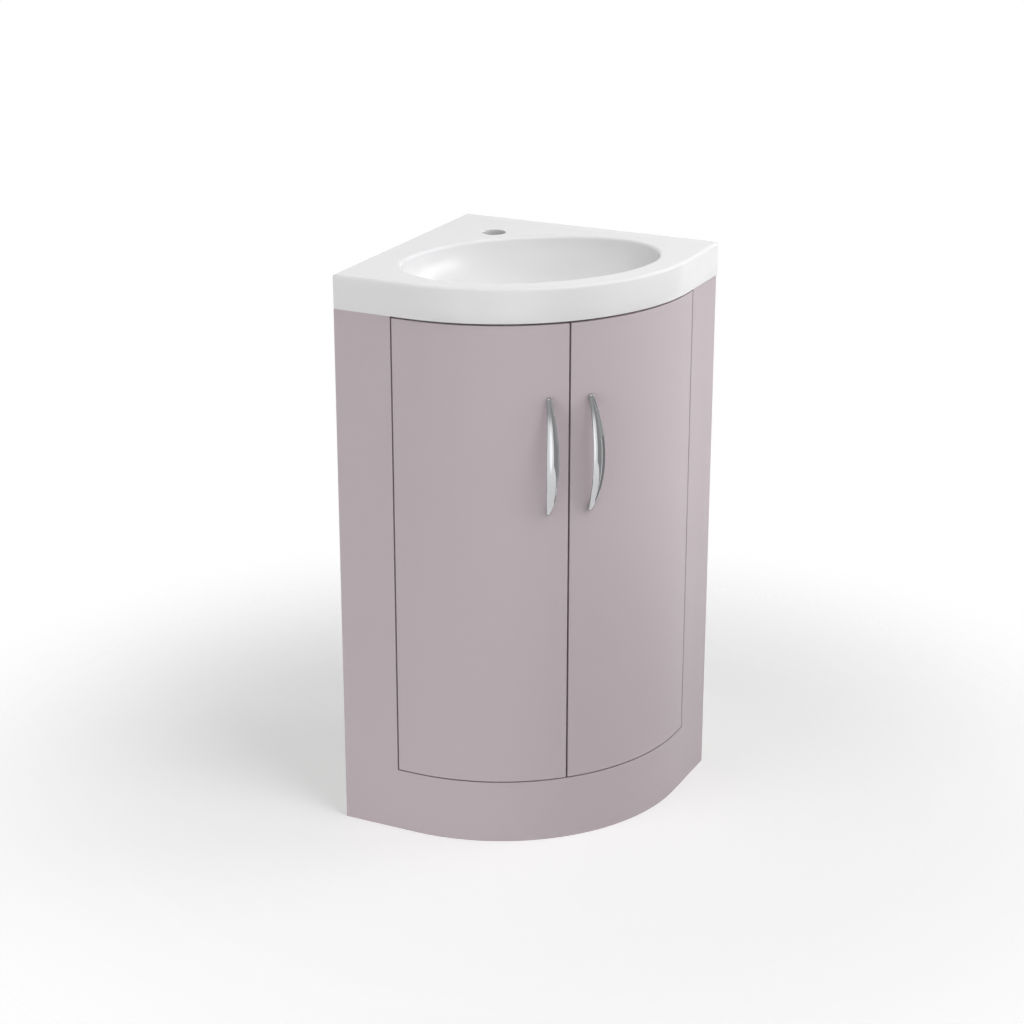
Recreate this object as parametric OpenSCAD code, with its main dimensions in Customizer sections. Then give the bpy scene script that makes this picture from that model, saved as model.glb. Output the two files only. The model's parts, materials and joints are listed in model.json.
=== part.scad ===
// Corner vanity unit: a curved two-door cabinet with an inset basin, in millimetres.
// The two wall sides lie along -X and +Y, and the curved front faces +X and -Y.
// Plans are drawn from the wall corner: x runs along the right wall, y runs negative along the left.

/* [Cabinet] */
// Length of each wall side of the cabinet
cabinet_leg = 415; // [408:1:440]
// Radius of the curved part of the front
front_radius = 296.5; // [288:0.5:304]
// Height of the cabinet, from the floor to the underside of the basin
cabinet_h = 800; // [740:5:860]
// Thickness of the front frame and of the doors
front_t = 18; // [16:0.5:20]
// Thickness of the wall panels, the base and the shelf
panel_t = 15; // [14:0.5:18]
// Width of each stile, measured from the wall
stile_w = 90; // [80:1:94]
// Height of the plinth below the doors
plinth_h = 97; // [70:1:130]
// Width of each hinge post behind the stiles
post_t = 18; // [16:0.5:22]
// Depth of each hinge post behind the stiles
post_depth = 74; // [72:1:85]
// Thickness of the curved rail behind the top of the doors
rail_t = 12; // [9:0.5:13]
// Height of the curved rail behind the top of the doors
rail_h = 50; // [30:1:60]
// Space between the closed doors and the rail behind them
rail_setback = 2; // [1.5:0.1:4]
// Width of the pipe cut-out in each wall panel
cutout_w = 90; // [60:1:120]
// Height of the straight part of the pipe cut-out
cutout_h = 120; // [60:1:200]
// Height of the middle of the pipe cut-outs above the floor
cutout_z = 560; // [500:5:600]
// Distance from the wall corner to the middle of the pipe cut-outs
cutout_from_corner = 140; // [110:1:200]

/* [Doors] */
// Gap between each door and its stile
side_gap = 2.5; // [2.5:0.1:4]
// Gap between the two doors
meeting_gap = 3; // [2:0.1:5]
// Gap between the doors and the plinth
bottom_gap = 2; // [1.5:0.1:4]
// Gap between the doors and the underside of the basin
top_gap = 3; // [2:0.1:6]
// Distance from the ends of the doors to the middle of their hinges
hinge_from_end = 95; // [85:1:120]

/* [Handles] */
// Distance between the screws of a handle
handle_centres = 160; // [128:1:192]
// How far each handle runs past its screws
handle_end = 7.5; // [6:0.5:9]
// How far the bow of a handle stands out from the door
handle_rise = 32; // [28:1:38]
// Thickness of the bow in its middle
handle_t = 4.5; // [4:0.5:6]
// Width of the bow in its middle
handle_w = 18.5; // [14:0.5:22]
// Width of the bow at its ends
handle_end_w = 6.5; // [6:0.5:9]
// Distance from the meeting edge of a door to the middle of its handle
handle_from_edge = 30; // [22:1:45]
// Height of the middle of the handles above the floor
handle_z = 604.5; // [560:0.5:620]

/* [Shelf] */
// Height of the underside of the shelf above the floor
shelf_z = 400; // [330:5:440]
// Space between the closed doors and the front of the shelf
shelf_setback = 25; // [20:1:60]
// Space round the other edges of the shelf
shelf_gap = 1; // [0.5:0.1:2]
// Spacing of the holes for the shelf pegs
peg_pitch = 32; // [25:1:50]
// Diameter of the shelf pegs
peg_d = 5; // [4:0.5:6]

/* [Basin] */
// Height of the edge of the basin
rim_h = 50; // [40:1:60]
// How far the basin stands past the cabinet at its two ends
end_overhang = 3; // [1:0.5:6]
// How much larger the radius of the basin's front is than the cabinet's
extra_radius = 6.5; // [4:0.5:8]
// Thickness of the edge and of the flat top of the basin
basin_t = 10; // [8:0.5:12]
// Width of the flat top in front of the bowl, in the middle
bowl_front_rim = 37; // [34.5:0.5:42]
// Least width of the flat top between the bowl and the wall sides
bowl_wall_rim = 50; // [47:0.5:56]
// Width of the flat top between the bowl and the tap hole
bowl_tap_rim = 25; // [15:0.5:35]
// Depth of the bowl
bowl_depth = 120; // [100:1:135]
// Thickness of the bowl
bowl_t = 10; // [8:0.5:11]
// Diameter of the tap hole
tap_hole_d = 35; // [32:0.5:38]
// Distance from the wall corner to the middle of the tap hole
tap_from_corner = 131; // [115:1:135]
// Diameter of the waste hole
waste_hole_d = 45; // [40:0.5:48]
// Diameter of the flat seat round the waste hole
waste_seat_d = 64; // [58:1:68]

/* [Hinges] */
// Diameter of the hinge cup in the door
cup_d = 35; // [35:0.5:36]
// Depth of the hinge cup in the door
cup_depth = 11.5; // [11.5:0.1:12]
// Wood left between the door's edge and the cup
cup_from_edge = 4; // [3.5:0.1:4]
// Half height of the hinge link between the cheeks of its arm
link_half_h = 4; // [3:0.1:4.5]
// Diameter of the hinge pins
pin_d = 2.5; // [2.4:0.1:3]
// Thickness of the cheeks of a hinge arm
cheek_t = 2; // [1.5:0.1:2.2]

/* [Fixings] */
// Diameter of the wall fixing holes
wall_hole_d = 6; // [5:0.5:8]
// Distance between the wall fixing holes of a panel
wall_hole_spacing = 200; // [150:5:240]
// Distance of the wall fixing holes below the top of the cabinet
wall_hole_from_top = 60; // [55:5:80]
// Diameter of the panel screws
panel_screw_d = 5; // [4:0.5:6]
// Diameter of the dowels
dowel_d = 6; // [5:0.5:8]

/* [Clearances] */
// Gap between a round piece and the hole that holds it still
fit_gap = 0.05; // [0.02:0.01:0.1]
// Gap between a hinge pin and the hole that it turns in
turn_gap = 0.06; // [0.04:0.01:0.1]
// Gap between a flat piece and the curved door that it is fixed to
seat_gap = 0.15; // [0.1:0.05:0.3]
// Gap beside the hinge link, and in front of the door buffers
side_play = 0.3; // [0.25:0.05:0.4]

/* [Hidden] */

round_fn = 64;      // facets of small round pieces
front_fn = 256;     // facets of the curved front
bowl_fn = 128;      // facets of the bowl
over = 1;           // how far a cut runs past the face that it opens

// Cabinet: straight ends, then a quarter circle between them
front_straight = cabinet_leg - front_radius;
door_z = plinth_h + bottom_gap;
door_h = cabinet_h - top_gap - door_z;
door_x = stile_w + side_gap;
base_z = plinth_h - panel_t;
post_x = stile_w - post_t;
post_y = -cabinet_leg + front_t;
post_h = cabinet_h - rail_h - plinth_h;
rail_z = cabinet_h - rail_h;
rail_depth = front_t + rail_setback;

rail_end_step = 6.5;    // how much further back the rail's ends lie than its middle
rail_overlap = 20;
door_swing_x = 34;      // how far along the door its outer edge swings back as it opens
rail_front_x = door_x + door_swing_x;

// Basin
basin_leg = cabinet_leg + end_overhang;
basin_radius = front_radius + extra_radius;
basin_z = cabinet_h;
basin_top = basin_z + rim_h;
half_leg = basin_leg / 2;

// Bowl, from the width of the flat top round it: half its length and width, and its middle on the diagonal
bowl_front = (basin_leg - basin_radius) * sqrt(2) + basin_radius - bowl_front_rim;
bowl_back = tap_from_corner + tap_hole_d / 2 + bowl_tap_rim;
bowl_from_corner = (bowl_front + bowl_back) / 2;
bowl_wall_reach = bowl_from_corner / sqrt(2) - bowl_wall_rim;
bowl_b = (bowl_front - bowl_back) / 2;
bowl_a = sqrt(2 * bowl_wall_reach * bowl_wall_reach - bowl_b * bowl_b);
waste_seat_z = basin_top - bowl_depth - 1;
waste_boss_z = waste_seat_z - 12;
waste_boss_wall = 10;

// Handles, measured from the middle of the curved front
handle_len = handle_centres + 2 * handle_end;
handle_angle = 45 - (meeting_gap / 2 + handle_from_edge) / front_radius * 180 / PI;
handle_tip = 4;     // height of a handle's blunt tip above the door
handle_screw_d = 4;
handle_head_d = 8;
handle_head_t = 2.4;
handle_bore = 7;    // depth of the threaded hole in a handle's foot

// Hinge, in a plan with its origin at the door's outer front corner: x along the door, y into the cabinet
cup_r = cup_d / 2;
cup_x = cup_from_edge + cup_r;
cup_floor_y = front_t - cup_depth;
cup_wall = 1;
cup_pin_in = 10;        // distance of the cup's pin from the cup's outer edge
cup_pin_up = 4.5;       // distance of the cup's pin from the cup's floor
link_across = 14;       // how far apart the link's pins are along the door
link_back = 20;         // how far apart the link's pins are into the cabinet
crank_across = 15;      // place of the link's bend, from the cup's pin
crank_back = 3.6;
cup_pin = [cup_from_edge + cup_pin_in, cup_floor_y + cup_pin_up];
arm_pin = cup_pin + [link_across, link_back];
link_bend = cup_pin + [crank_across, crank_back];
link_w = 4.4;           // width of the link's bars
cup_eye_r = 2.6;        // radius of the link's eye in the cup
arm_eye_r = 3.3;        // radius of the link's eye in the arm
link_fit = 0.01;        // gap between a pressed pin and the link
flange_t = 1.2;         // thickness of the cup's flange
flange_w = 20;
flange_half_h = 26;
cup_screw_z = 21;       // distance of the cup's screws from its middle
cup_screw_d = 3.5;
cup_screw_len = 11;     // length of a cup's screw in the door
cup_head_t = 1.6;
cup_pin_half = 15.2;
cheek_out = link_half_h + side_play + cheek_t;
arm_w = 7.6;
arm_bend_x = 9;
arm_bend_back = 27;     // distance of the arm's bend behind the door
arm_reach = 66;         // distance of the arm's end behind the door
arm_bend = [arm_bend_x, front_t + arm_bend_back];
arm_end_y = front_t + arm_reach;
arm_top_x = arm_bend_x + arm_w / 2;
arm_top_w = 9;          // width of the arm's cheeks over the plate
web_t = 1.6;            // thickness of the arm's outer web
plate_back = 37;        // distance of the plate's screws behind the door
plate_y = front_t + plate_back;
plate_w = 20;
plate_half_h = 25;
plate_t = 2.2;
plate_screw_z = 16;
plate_screw_d = 4;
plate_screw_len = 13;   // length of a plate's screw in the post
plate_head_d = 7.5;
plate_head_t = 2;
arm_screw_d = 4;
arm_head_t = 1.5;
arm_screw_y = plate_y + 18;
spine_play = 0.2;
spine_half_h = cheek_out - cheek_t - spine_play;

// How far the door's curved back lies behind its flat end, at the inner edge of the cup's flange
flange_past_flat = max(0, door_x + cup_x + flange_w / 2 - front_straight);
back_r = front_radius - front_t;
hinge_sag = back_r - sqrt(back_r * back_r - flange_past_flat * flange_past_flat);
hinge_heights = [door_z + hinge_from_end, door_z + door_h - hinge_from_end];

// Shelf and its pegs
peg_h = 4;          // height of a peg's flat step above its pin's middle
peg_in = 9;
peg_out = 9;
peg_wall = 60;      // distance of the rear pegs from the wall corner
peg_back = 47;      // distance of the front pegs behind the stiles
peg_post_y = post_y + peg_back;
peg_rows = [-1, 0, 1];
peg_z = shelf_z - peg_h;

// Colours, as the object shows them
paint = [0.71, 0.66, 0.68];
board = [0.90, 0.90, 0.89];
glaze = [0.95, 0.95, 0.95];
chrome = [0.80, 0.80, 0.82];
zinc = [0.66, 0.67, 0.69];
beech = [0.80, 0.66, 0.47];
clear_rubber = [0.86, 0.86, 0.84];

// ---- Placing -------------------------------------------------------------

// Moves a plan drawn from the wall corner to the unit's own frame
module from_corner() {
    translate([-half_leg, half_leg, 0]) children();
}

// Mirrors a left-hand piece to the right-hand side, over the corner's diagonal
module right_hand() {
    mirror([1, 1, 0]) children();
}

// Draws a piece on both sides
module both_hands() {
    children();
    right_hand() children();
}

// Puts a piece at the left door's hinge line, at both hinge heights
module at_hinges() {
    for (z = hinge_heights) translate([door_x, -cabinet_leg + hinge_sag, z]) children();
}

// Puts a piece on the front of the left door, x outward, at the handle
module at_handle() {
    translate([front_straight, -front_straight, handle_z])
        rotate([0, 0, -90 + handle_angle]) translate([front_radius, 0, 0]) children();
}

// Repeats a piece at the two ends of a handle
module at_handle_ends() {
    for (side = [-1, 1]) translate([0, 0, side * handle_centres / 2]) children();
}

// ---- Shared shapes ---------------------------------------------------------

// Plan of the quarter-round front, set in from its edge by a depth
module corner_plan(leg, radius, depth) {
    straight = leg - radius;
    edge = leg - depth;
    translate([0, -edge]) square([straight, edge]);
    translate([0, -straight]) square([edge, straight]);
    translate([straight, -straight]) intersection() {
        circle(r = radius - depth, $fn = front_fn);
        translate([0, -edge]) square([edge, edge]);
    }
}

// Plan of a curved band behind the cabinet's front, between two depths
module front_band(near, far) {
    difference() {
        corner_plan(cabinet_leg, front_radius, near);
        corner_plan(cabinet_leg, front_radius, far);
    }
}

// Straight bar with square ends between two points of a plan
module bar(start, end, width) {
    run = end - start;
    translate(start) rotate(atan2(run[1], run[0])) translate([0, -width / 2]) square([norm(run), width]);
}

// Round bar along x, from one x to another
module rod_x(from, to, r) {
    translate([from, 0, 0]) rotate([0, 90, 0]) cylinder(r = r, h = to - from, $fn = round_fn);
}

// Round bar along y, from one y to another
module rod_y(from, to, r) {
    translate([0, from, 0]) rotate([-90, 0, 0]) cylinder(r = r, h = to - from, $fn = round_fn);
}

// ---- Dowels and screws of the cabinet, and their holes ---------------------

dowel_len = 30;
dowel_in_front = 10;
low_dowel_z = 150;
top_dowel_in = 30;      // distance of the top dowels below the top of the cabinet
stile_dowel_zs = [low_dowel_z, cabinet_h / 3, cabinet_h * 2 / 3, cabinet_h - top_dowel_in];
plinth_dowel_angles = [-64, -45, -26];
panel_screw_len = 48;
low_screw_z = 55;
mid_screw_z = 430;
top_screw_in = 90;      // distance of the top corner screw below the top of the cabinet
panel_screw_zs = [low_screw_z, mid_screw_z, cabinet_h - top_screw_in];
panel_screw_runs = [70, 200, 330];
head_r = 4.75;
head_t = 4;
base_mid_z = base_z + panel_t / 2;

// Dowels that join one stile to its wall panel and to its hinge post
module stile_dowels(extra) {
    for (x = [panel_t / 2, post_x + post_t / 2], z = stile_dowel_zs)
        translate([x, post_y - dowel_in_front, z]) rod_y(-extra, dowel_len + extra, dowel_d / 2 + extra);
}

// Dowels that join the plinth to the base panel
module plinth_dowels(extra) {
    start = front_radius - front_t + dowel_in_front;
    for (a = plinth_dowel_angles) translate([front_straight, -front_straight, base_mid_z]) rotate([0, 0, a])
        rod_x(start - dowel_len - extra, start + extra, dowel_d / 2 + extra);
}

// One countersunk panel screw along x, head first
module panel_screw(extra) {
    rod_x(0, head_t + extra, head_r + extra);
    rod_x(0, panel_screw_len + extra, panel_screw_d / 2 + extra);
}

// Screws through the left wall panel into the base
module left_base_screws(extra) {
    for (y = panel_screw_runs) translate([0, -y, base_mid_z]) panel_screw(extra);
}

// Screws through the left wall panel into the edge of the right one
module corner_screws(extra) {
    for (z = panel_screw_zs) translate([0, -panel_t / 2, z]) panel_screw(extra);
}

// Holes for the shelf pegs, in three rows
module peg_holes() {
    for (row = peg_rows) translate([0, 0, peg_z + row * peg_pitch]) {
        translate([panel_t, -peg_wall, 0]) rod_x(-peg_in - fit_gap, over, peg_d / 2 + fit_gap);
        translate([stile_w, peg_post_y, 0]) rod_x(-peg_in - fit_gap, over, peg_d / 2 + fit_gap);
    }
}

// ---- Cabinet -----------------------------------------------------------------

// One-piece front: two stiles and the curved plinth
module front_frame() {
    opening = 2 * cabinet_leg;
    color(paint) from_corner() difference() {
        linear_extrude(cabinet_h) front_band(0, front_t);
        translate([stile_w, -stile_w - opening, plinth_h]) cube([opening, opening, cabinet_h]);
        both_hands() stile_dowels(fit_gap);
        plinth_dowels(fit_gap);
    }
}

// Pipe cut-out through the left wall panel, with round ends
module pipe_cutout() {
    translate([-over, -cutout_from_corner, cutout_z]) {
        translate([0, -cutout_w / 2, -cutout_h / 2]) cube([panel_t + 2 * over, cutout_w, cutout_h]);
        for (side = [-1, 1]) translate([0, 0, side * cutout_h / 2]) rod_x(0, panel_t + 2 * over, cutout_w / 2);
    }
}

// Wall fixing holes through the left wall panel
module wall_holes() {
    middle = (cabinet_leg - front_t) / 2;
    z = cabinet_h - wall_hole_from_top;
    for (side = [-1, 1]) translate([0, -middle + side * wall_hole_spacing / 2, z])
        rod_x(-over, panel_t + over, wall_hole_d / 2);
}

// Panel on the left wall, as high as the cabinet
module left_wall_panel() {
    length = cabinet_leg - front_t;
    color(board) from_corner() difference() {
        translate([0, -length, 0]) cube([panel_t, length, cabinet_h]);
        pipe_cutout();
        wall_holes();
        stile_dowels(fit_gap);
        left_base_screws(fit_gap);
        corner_screws(fit_gap);
        peg_holes();
    }
}

// Panel on the right wall, butted against the left one
module right_wall_panel() {
    length = cabinet_leg - front_t - panel_t;
    color(board) from_corner() difference() {
        translate([panel_t, -panel_t, 0]) cube([length, panel_t, cabinet_h]);
        corner_screws(fit_gap);
        right_hand() {
            pipe_cutout();
            wall_holes();
            stile_dowels(fit_gap);
            left_base_screws(fit_gap);
            peg_holes();
        }
    }
}

// Base of the cupboard, level with the top of the plinth
module base_panel() {
    color(board) from_corner() difference() {
        translate([0, 0, base_z]) linear_extrude(panel_t) difference() {
            corner_plan(cabinet_leg, front_radius, front_t);
            translate([0, -cabinet_leg]) square([panel_t, cabinet_leg]);
            translate([0, -panel_t]) square([cabinet_leg, panel_t]);
        }
        plinth_dowels(fit_gap);
        both_hands() left_base_screws(fit_gap);
    }
}

// Upright that carries the left hinges, glued and dowelled behind the stile
module hinge_post() {
    difference() {
        translate([post_x, post_y, plinth_h]) cube([post_t, post_depth, post_h]);
        stile_dowels(fit_gap);
        peg_holes();
        at_hinges() plate_screw_shanks(fit_gap);
    }
}

module left_hinge_post() {
    color(board) from_corner() hinge_post();
}

module right_hinge_post() {
    color(board) from_corner() right_hand() hinge_post();
}

// Part of a front band from one x to another, left of the corner's diagonal
module left_band(near, far, from_x, to_x) {
    intersection() {
        front_band(near, far);
        translate([from_x, -cabinet_leg]) square([to_x - from_x, cabinet_leg / 2]);
    }
}

// Left end of the rail: a block on the hinge post, and a step that clears the door's swing
module rail_end_plan() {
    step = rail_depth + rail_end_step;
    left_band(front_t, step + rail_t, post_x, stile_w);
    left_band(step, step + rail_t, post_x, rail_front_x + rail_overlap);
}

// Curved rail on top of the hinge posts, behind the top of the doors
module top_rail() {
    reach = 2 * cabinet_leg;
    color(board) from_corner() difference() {
        translate([0, 0, rail_z]) linear_extrude(rail_h) {
            intersection() {
                front_band(rail_depth, rail_depth + rail_t);
                translate([rail_front_x, -rail_front_x - reach]) square([reach, reach]);
            }
            both_hands() rail_end_plan();
        }
        both_hands() stile_dowels(fit_gap);
    }
}

// Four clear pads on the rail that the closed doors come to rest against
module door_buffers() {
    pad_r = 4;
    color(clear_rubber) from_corner()
        for (a = [-62, -52, -38, -28]) translate([front_straight, -front_straight, rail_z + rail_h / 2])
            rotate([0, 0, a]) difference() {
                rod_x(front_radius - rail_depth - 1, front_radius - front_t - side_play, pad_r);
                translate([0, 0, -2 * pad_r]) cylinder(r = front_radius - rail_depth, h = 4 * pad_r, $fn = front_fn);
            }
}

module frame_dowels() {
    color(beech) from_corner() {
        both_hands() stile_dowels(0);
        plinth_dowels(0);
    }
}

module panel_screws() {
    color(zinc) from_corner() {
        both_hands() left_base_screws(0);
        corner_screws(0);
    }
}

// ---- Shelf ---------------------------------------------------------------------

// Removable shelf, cut back round the hinge posts
module shelf() {
    inner = panel_t + shelf_gap;
    notch = stile_w + shelf_gap;
    notch_y = post_y + post_depth + shelf_gap;
    color(board) from_corner() translate([0, 0, shelf_z]) linear_extrude(panel_t) difference() {
        corner_plan(cabinet_leg, front_radius, front_t + shelf_setback);
        translate([0, -cabinet_leg]) square([inner, cabinet_leg]);
        translate([0, -inner]) square([cabinet_leg, inner]);
        both_hands() translate([0, notch_y - cabinet_leg]) square([notch, cabinet_leg]);
    }
}

// Peg with a round pin and a flat step that the shelf lies on
module shelf_peg() {
    step_w = 9;
    step_t = 2;
    collar_t = 1.5;
    rod_x(-peg_in, 0, peg_d / 2);
    rod_x(0, collar_t, peg_d / 2 + 1.2);
    translate([0, -step_w / 2, peg_h - step_t]) cube([peg_out, step_w, step_t]);
    translate([0, -peg_d / 4, -peg_d / 2]) cube([peg_out - 2, peg_d / 2, peg_h - step_t + peg_d / 2]);
}

module shelf_pegs() {
    color(zinc) from_corner() both_hands() {
        translate([panel_t, -peg_wall, peg_z]) shelf_peg();
        translate([stile_w, peg_post_y, peg_z]) shelf_peg();
    }
}

// ---- Basin ---------------------------------------------------------------------

// Half ellipsoid below the basin's top, long across the corner
module bowl_form(grow) {
    middle = bowl_from_corner / sqrt(2);
    translate([middle, -middle, basin_top]) rotate([0, 0, 45])
        scale([bowl_a + grow, bowl_b + grow, bowl_depth + grow]) sphere(r = 1, $fn = bowl_fn);
}

// Upright cylinder on the corner's diagonal
module on_diagonal(from_wall, z, d, h) {
    translate([from_wall / sqrt(2), -from_wall / sqrt(2), z]) cylinder(d = d, h = h, $fn = round_fn);
}

module basin() {
    underside = basin_top - basin_t;
    rise = basin_top - waste_boss_z;
    color(glaze) from_corner() difference() {
        union() {
            difference() {
                translate([0, 0, basin_z]) linear_extrude(rim_h) corner_plan(basin_leg, basin_radius, 0);
                translate([basin_t, -basin_t, basin_z - over]) linear_extrude(rim_h - basin_t + over)
                    corner_plan(basin_leg - 2 * basin_t, basin_radius - basin_t, 0);
            }
            intersection() {
                bowl_form(bowl_t);
                translate([0, 0, underside - bowl_depth - bowl_t])
                    linear_extrude(bowl_depth + bowl_t + basin_t) corner_plan(basin_leg, basin_radius, 0);
            }
            on_diagonal(bowl_from_corner, waste_boss_z, waste_seat_d + 2 * waste_boss_wall, bowl_t);
        }
        bowl_form(0);
        on_diagonal(bowl_from_corner, waste_seat_z, waste_seat_d, rise);
        on_diagonal(bowl_from_corner, waste_boss_z - over, waste_hole_d, rise);
        on_diagonal(tap_from_corner, underside - over, tap_hole_d, basin_t + 2 * over);
    }
}

// ---- Doors -----------------------------------------------------------------------

// Plan of the left door, from its stile to the corner's diagonal
module door_plan() {
    reach = cabinet_leg + 10;
    cut = meeting_gap / sqrt(2);
    intersection() {
        front_band(0, front_t);
        polygon([[door_x, -reach], [reach - cut, -reach], [door_x, -door_x - cut]]);
    }
}

// Curved door, drilled for its hinge cups and its handle
module door() {
    difference() {
        translate([0, 0, door_z]) linear_extrude(door_h) door_plan();
        at_hinges() {
            translate([cup_x, 0, 0]) rod_y(cup_floor_y - fit_gap, 2 * front_t, cup_r + fit_gap);
            cup_screw_shanks(fit_gap);
        }
        at_handle() at_handle_ends() rod_x(-front_t - over, over, handle_screw_d / 2 + 0.25);
    }
}

module left_door() {
    color(paint) from_corner() door();
}

module right_door() {
    color(paint) from_corner() right_hand() door();
}

// Radius of an arc with a given half chord and rise
function arc_radius(half_chord, rise) = (half_chord * half_chord + rise * rise) / (2 * rise);

// Side view of the bow: x outward, y along the handle
module bow_side() {
    half = handle_len / 2;
    outer_r = arc_radius(half, handle_rise - handle_tip);
    inner_rise = handle_rise - handle_t;
    inner_r = arc_radius(handle_centres / 2, inner_rise);
    difference() {
        translate([handle_rise - outer_r, 0]) circle(r = outer_r, $fn = front_fn);
        translate([inner_rise - inner_r, 0]) circle(r = inner_r, $fn = front_fn);
        translate([-3 * handle_len, -2 * handle_len]) square([3 * handle_len, 4 * handle_len]);
        for (side = [0, 1]) mirror([0, side]) translate([-over, half]) square([2 * handle_rise, handle_len]);
    }
}

// Front view of the bow: x across, y along the handle
module bow_front() {
    half = handle_len / 2;
    arc_r = arc_radius(half, (handle_w - handle_end_w) / 2);
    intersection() {
        translate([handle_w / 2 - arc_r, 0]) circle(r = arc_r, $fn = front_fn);
        translate([arc_r - handle_w / 2, 0]) circle(r = arc_r, $fn = front_fn);
        translate([-handle_w, -half]) square([2 * handle_w, handle_len]);
    }
}

// Bow handle, wide in its middle and narrow at its two feet
module handle() {
    at_handle() translate([seat_gap, 0, 0]) difference() {
        intersection() {
            rotate([90, 0, 0]) translate([0, 0, -handle_w]) linear_extrude(2 * handle_w) bow_side();
            rotate([90, 0, 90]) translate([0, 0, -over]) linear_extrude(handle_rise + 2 * over) bow_front();
        }
        at_handle_ends() rod_x(-over, handle_bore, handle_screw_d / 2 + fit_gap);
    }
}

module left_handle() {
    color(chrome) from_corner() handle();
}

module right_handle() {
    color(chrome) from_corner() right_hand() handle();
}

// Pan-head screws through the door into the handle's feet
module handle_screws() {
    back = -front_t - seat_gap;
    at_handle() at_handle_ends() {
        rod_x(back - handle_head_t, back, handle_head_d / 2);
        rod_x(back, seat_gap + handle_bore - 1, handle_screw_d / 2);
    }
}

module left_handle_screws() {
    color(zinc) from_corner() handle_screws();
}

module right_handle_screws() {
    color(zinc) from_corner() right_hand() handle_screws();
}

// ---- Hinges ------------------------------------------------------------------------

// Round cup sunk in the door, with a flange for its two screws and holes for its pin
module hinge_cup() {
    mouth = front_t + seat_gap + flange_t;
    difference() {
        union() {
            translate([cup_x, 0, 0]) rod_y(cup_floor_y, mouth, cup_r);
            translate([cup_x - flange_w / 2, front_t + seat_gap, -flange_half_h])
                cube([flange_w, flange_t, 2 * flange_half_h]);
        }
        translate([cup_x, 0, 0]) rod_y(cup_floor_y + cup_wall, mouth + over, cup_r - cup_wall);
        translate([cup_x - cup_r - over, front_t, -cup_r - over])
            cube([cup_r + over - flange_w / 2, mouth, 2 * cup_r + 2 * over]);
        translate([cup_pin[0], cup_pin[1], -cup_pin_half - fit_gap])
            cylinder(r = pin_d / 2 + turn_gap, h = 2 * cup_pin_half + 2 * fit_gap, $fn = round_fn);
        cup_screw_shanks(fit_gap);
    }
}

module left_hinge_cups() {
    color(zinc) from_corner() at_hinges() hinge_cup();
}

module right_hinge_cups() {
    color(zinc) from_corner() right_hand() at_hinges() hinge_cup();
}

// Shanks of the cup's screws
module cup_screw_shanks(extra) {
    for (side = [-1, 1]) translate([cup_x, 0, side * cup_screw_z])
        rod_y(front_t - cup_screw_len - extra, front_t + seat_gap + flange_t + extra, cup_screw_d / 2 + extra);
}

// Cup screws with pan heads
module cup_screws() {
    seat = front_t + seat_gap + flange_t;
    at_hinges() {
        cup_screw_shanks(0);
        for (side = [-1, 1]) translate([cup_x, 0, side * cup_screw_z]) rod_y(seat, seat + cup_head_t, cup_screw_d);
    }
}

module left_cup_screws() {
    color(zinc) from_corner() cup_screws();
}

module right_cup_screws() {
    color(zinc) from_corner() right_hand() cup_screws();
}

// Cranked link between the arm's pin and the cup's pin
module hinge_link() {
    difference() {
        translate([0, 0, -link_half_h]) linear_extrude(2 * link_half_h) {
            translate(cup_pin) circle(r = cup_eye_r, $fn = round_fn);
            translate(arm_pin) circle(r = arm_eye_r, $fn = round_fn);
            translate(link_bend) circle(r = link_w / 2, $fn = round_fn);
            bar(cup_pin, link_bend, link_w);
            bar(link_bend, arm_pin, link_w);
        }
        for (pin = [cup_pin, arm_pin]) translate([pin[0], pin[1], -link_half_h - over])
            cylinder(r = pin_d / 2 + link_fit, h = 2 * link_half_h + 2 * over, $fn = round_fn);
    }
}

module left_hinge_links() {
    color(zinc) from_corner() at_hinges() hinge_link();
}

module right_hinge_links() {
    color(zinc) from_corner() right_hand() at_hinges() hinge_link();
}

// The two pins that are pressed in each link
module link_pins() {
    at_hinges() {
        translate([cup_pin[0], cup_pin[1], -cup_pin_half])
            cylinder(d = pin_d, h = 2 * cup_pin_half, $fn = round_fn);
        translate([arm_pin[0], arm_pin[1], -cheek_out]) cylinder(d = pin_d, h = 2 * cheek_out, $fn = round_fn);
    }
}

module left_link_pins() {
    color(chrome) from_corner() link_pins();
}

module right_link_pins() {
    color(chrome) from_corner() right_hand() link_pins();
}

// Plan of an arm's two cheeks, from the link's pin back over the plate
module cheek_plan() {
    translate(arm_pin) circle(r = arm_w / 2, $fn = round_fn);
    translate(arm_bend) circle(r = arm_w / 2, $fn = round_fn);
    bar(arm_pin, arm_bend, arm_w);
    translate([arm_top_x - arm_top_w, arm_bend[1]]) square([arm_top_w, arm_end_y - arm_bend[1]]);
}

// Channel-shaped arm that clips over the plate's spine and forks round the link
module hinge_arm() {
    difference() {
        union() {
            for (side = [0, 1]) mirror([0, 0, side])
                translate([0, 0, cheek_out - cheek_t]) linear_extrude(cheek_t) cheek_plan();
            translate([arm_top_x - web_t, arm_bend[1], -cheek_out])
                cube([web_t, arm_end_y - arm_bend[1], 2 * cheek_out]);
        }
        translate([arm_pin[0], arm_pin[1], -cheek_out - over])
            cylinder(r = pin_d / 2 + turn_gap, h = 2 * cheek_out + 2 * over, $fn = round_fn);
        arm_screw_shank(fit_gap);
    }
}

module left_hinge_arms() {
    color(zinc) from_corner() at_hinges() hinge_arm();
}

module right_hinge_arms() {
    color(zinc) from_corner() right_hand() at_hinges() hinge_arm();
}

// Screw that holds an arm on its plate
module arm_screw_shank(extra) {
    translate([0, arm_screw_y, 0]) rod_x(1 - extra, arm_top_x + extra, arm_screw_d / 2 + extra);
}

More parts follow.
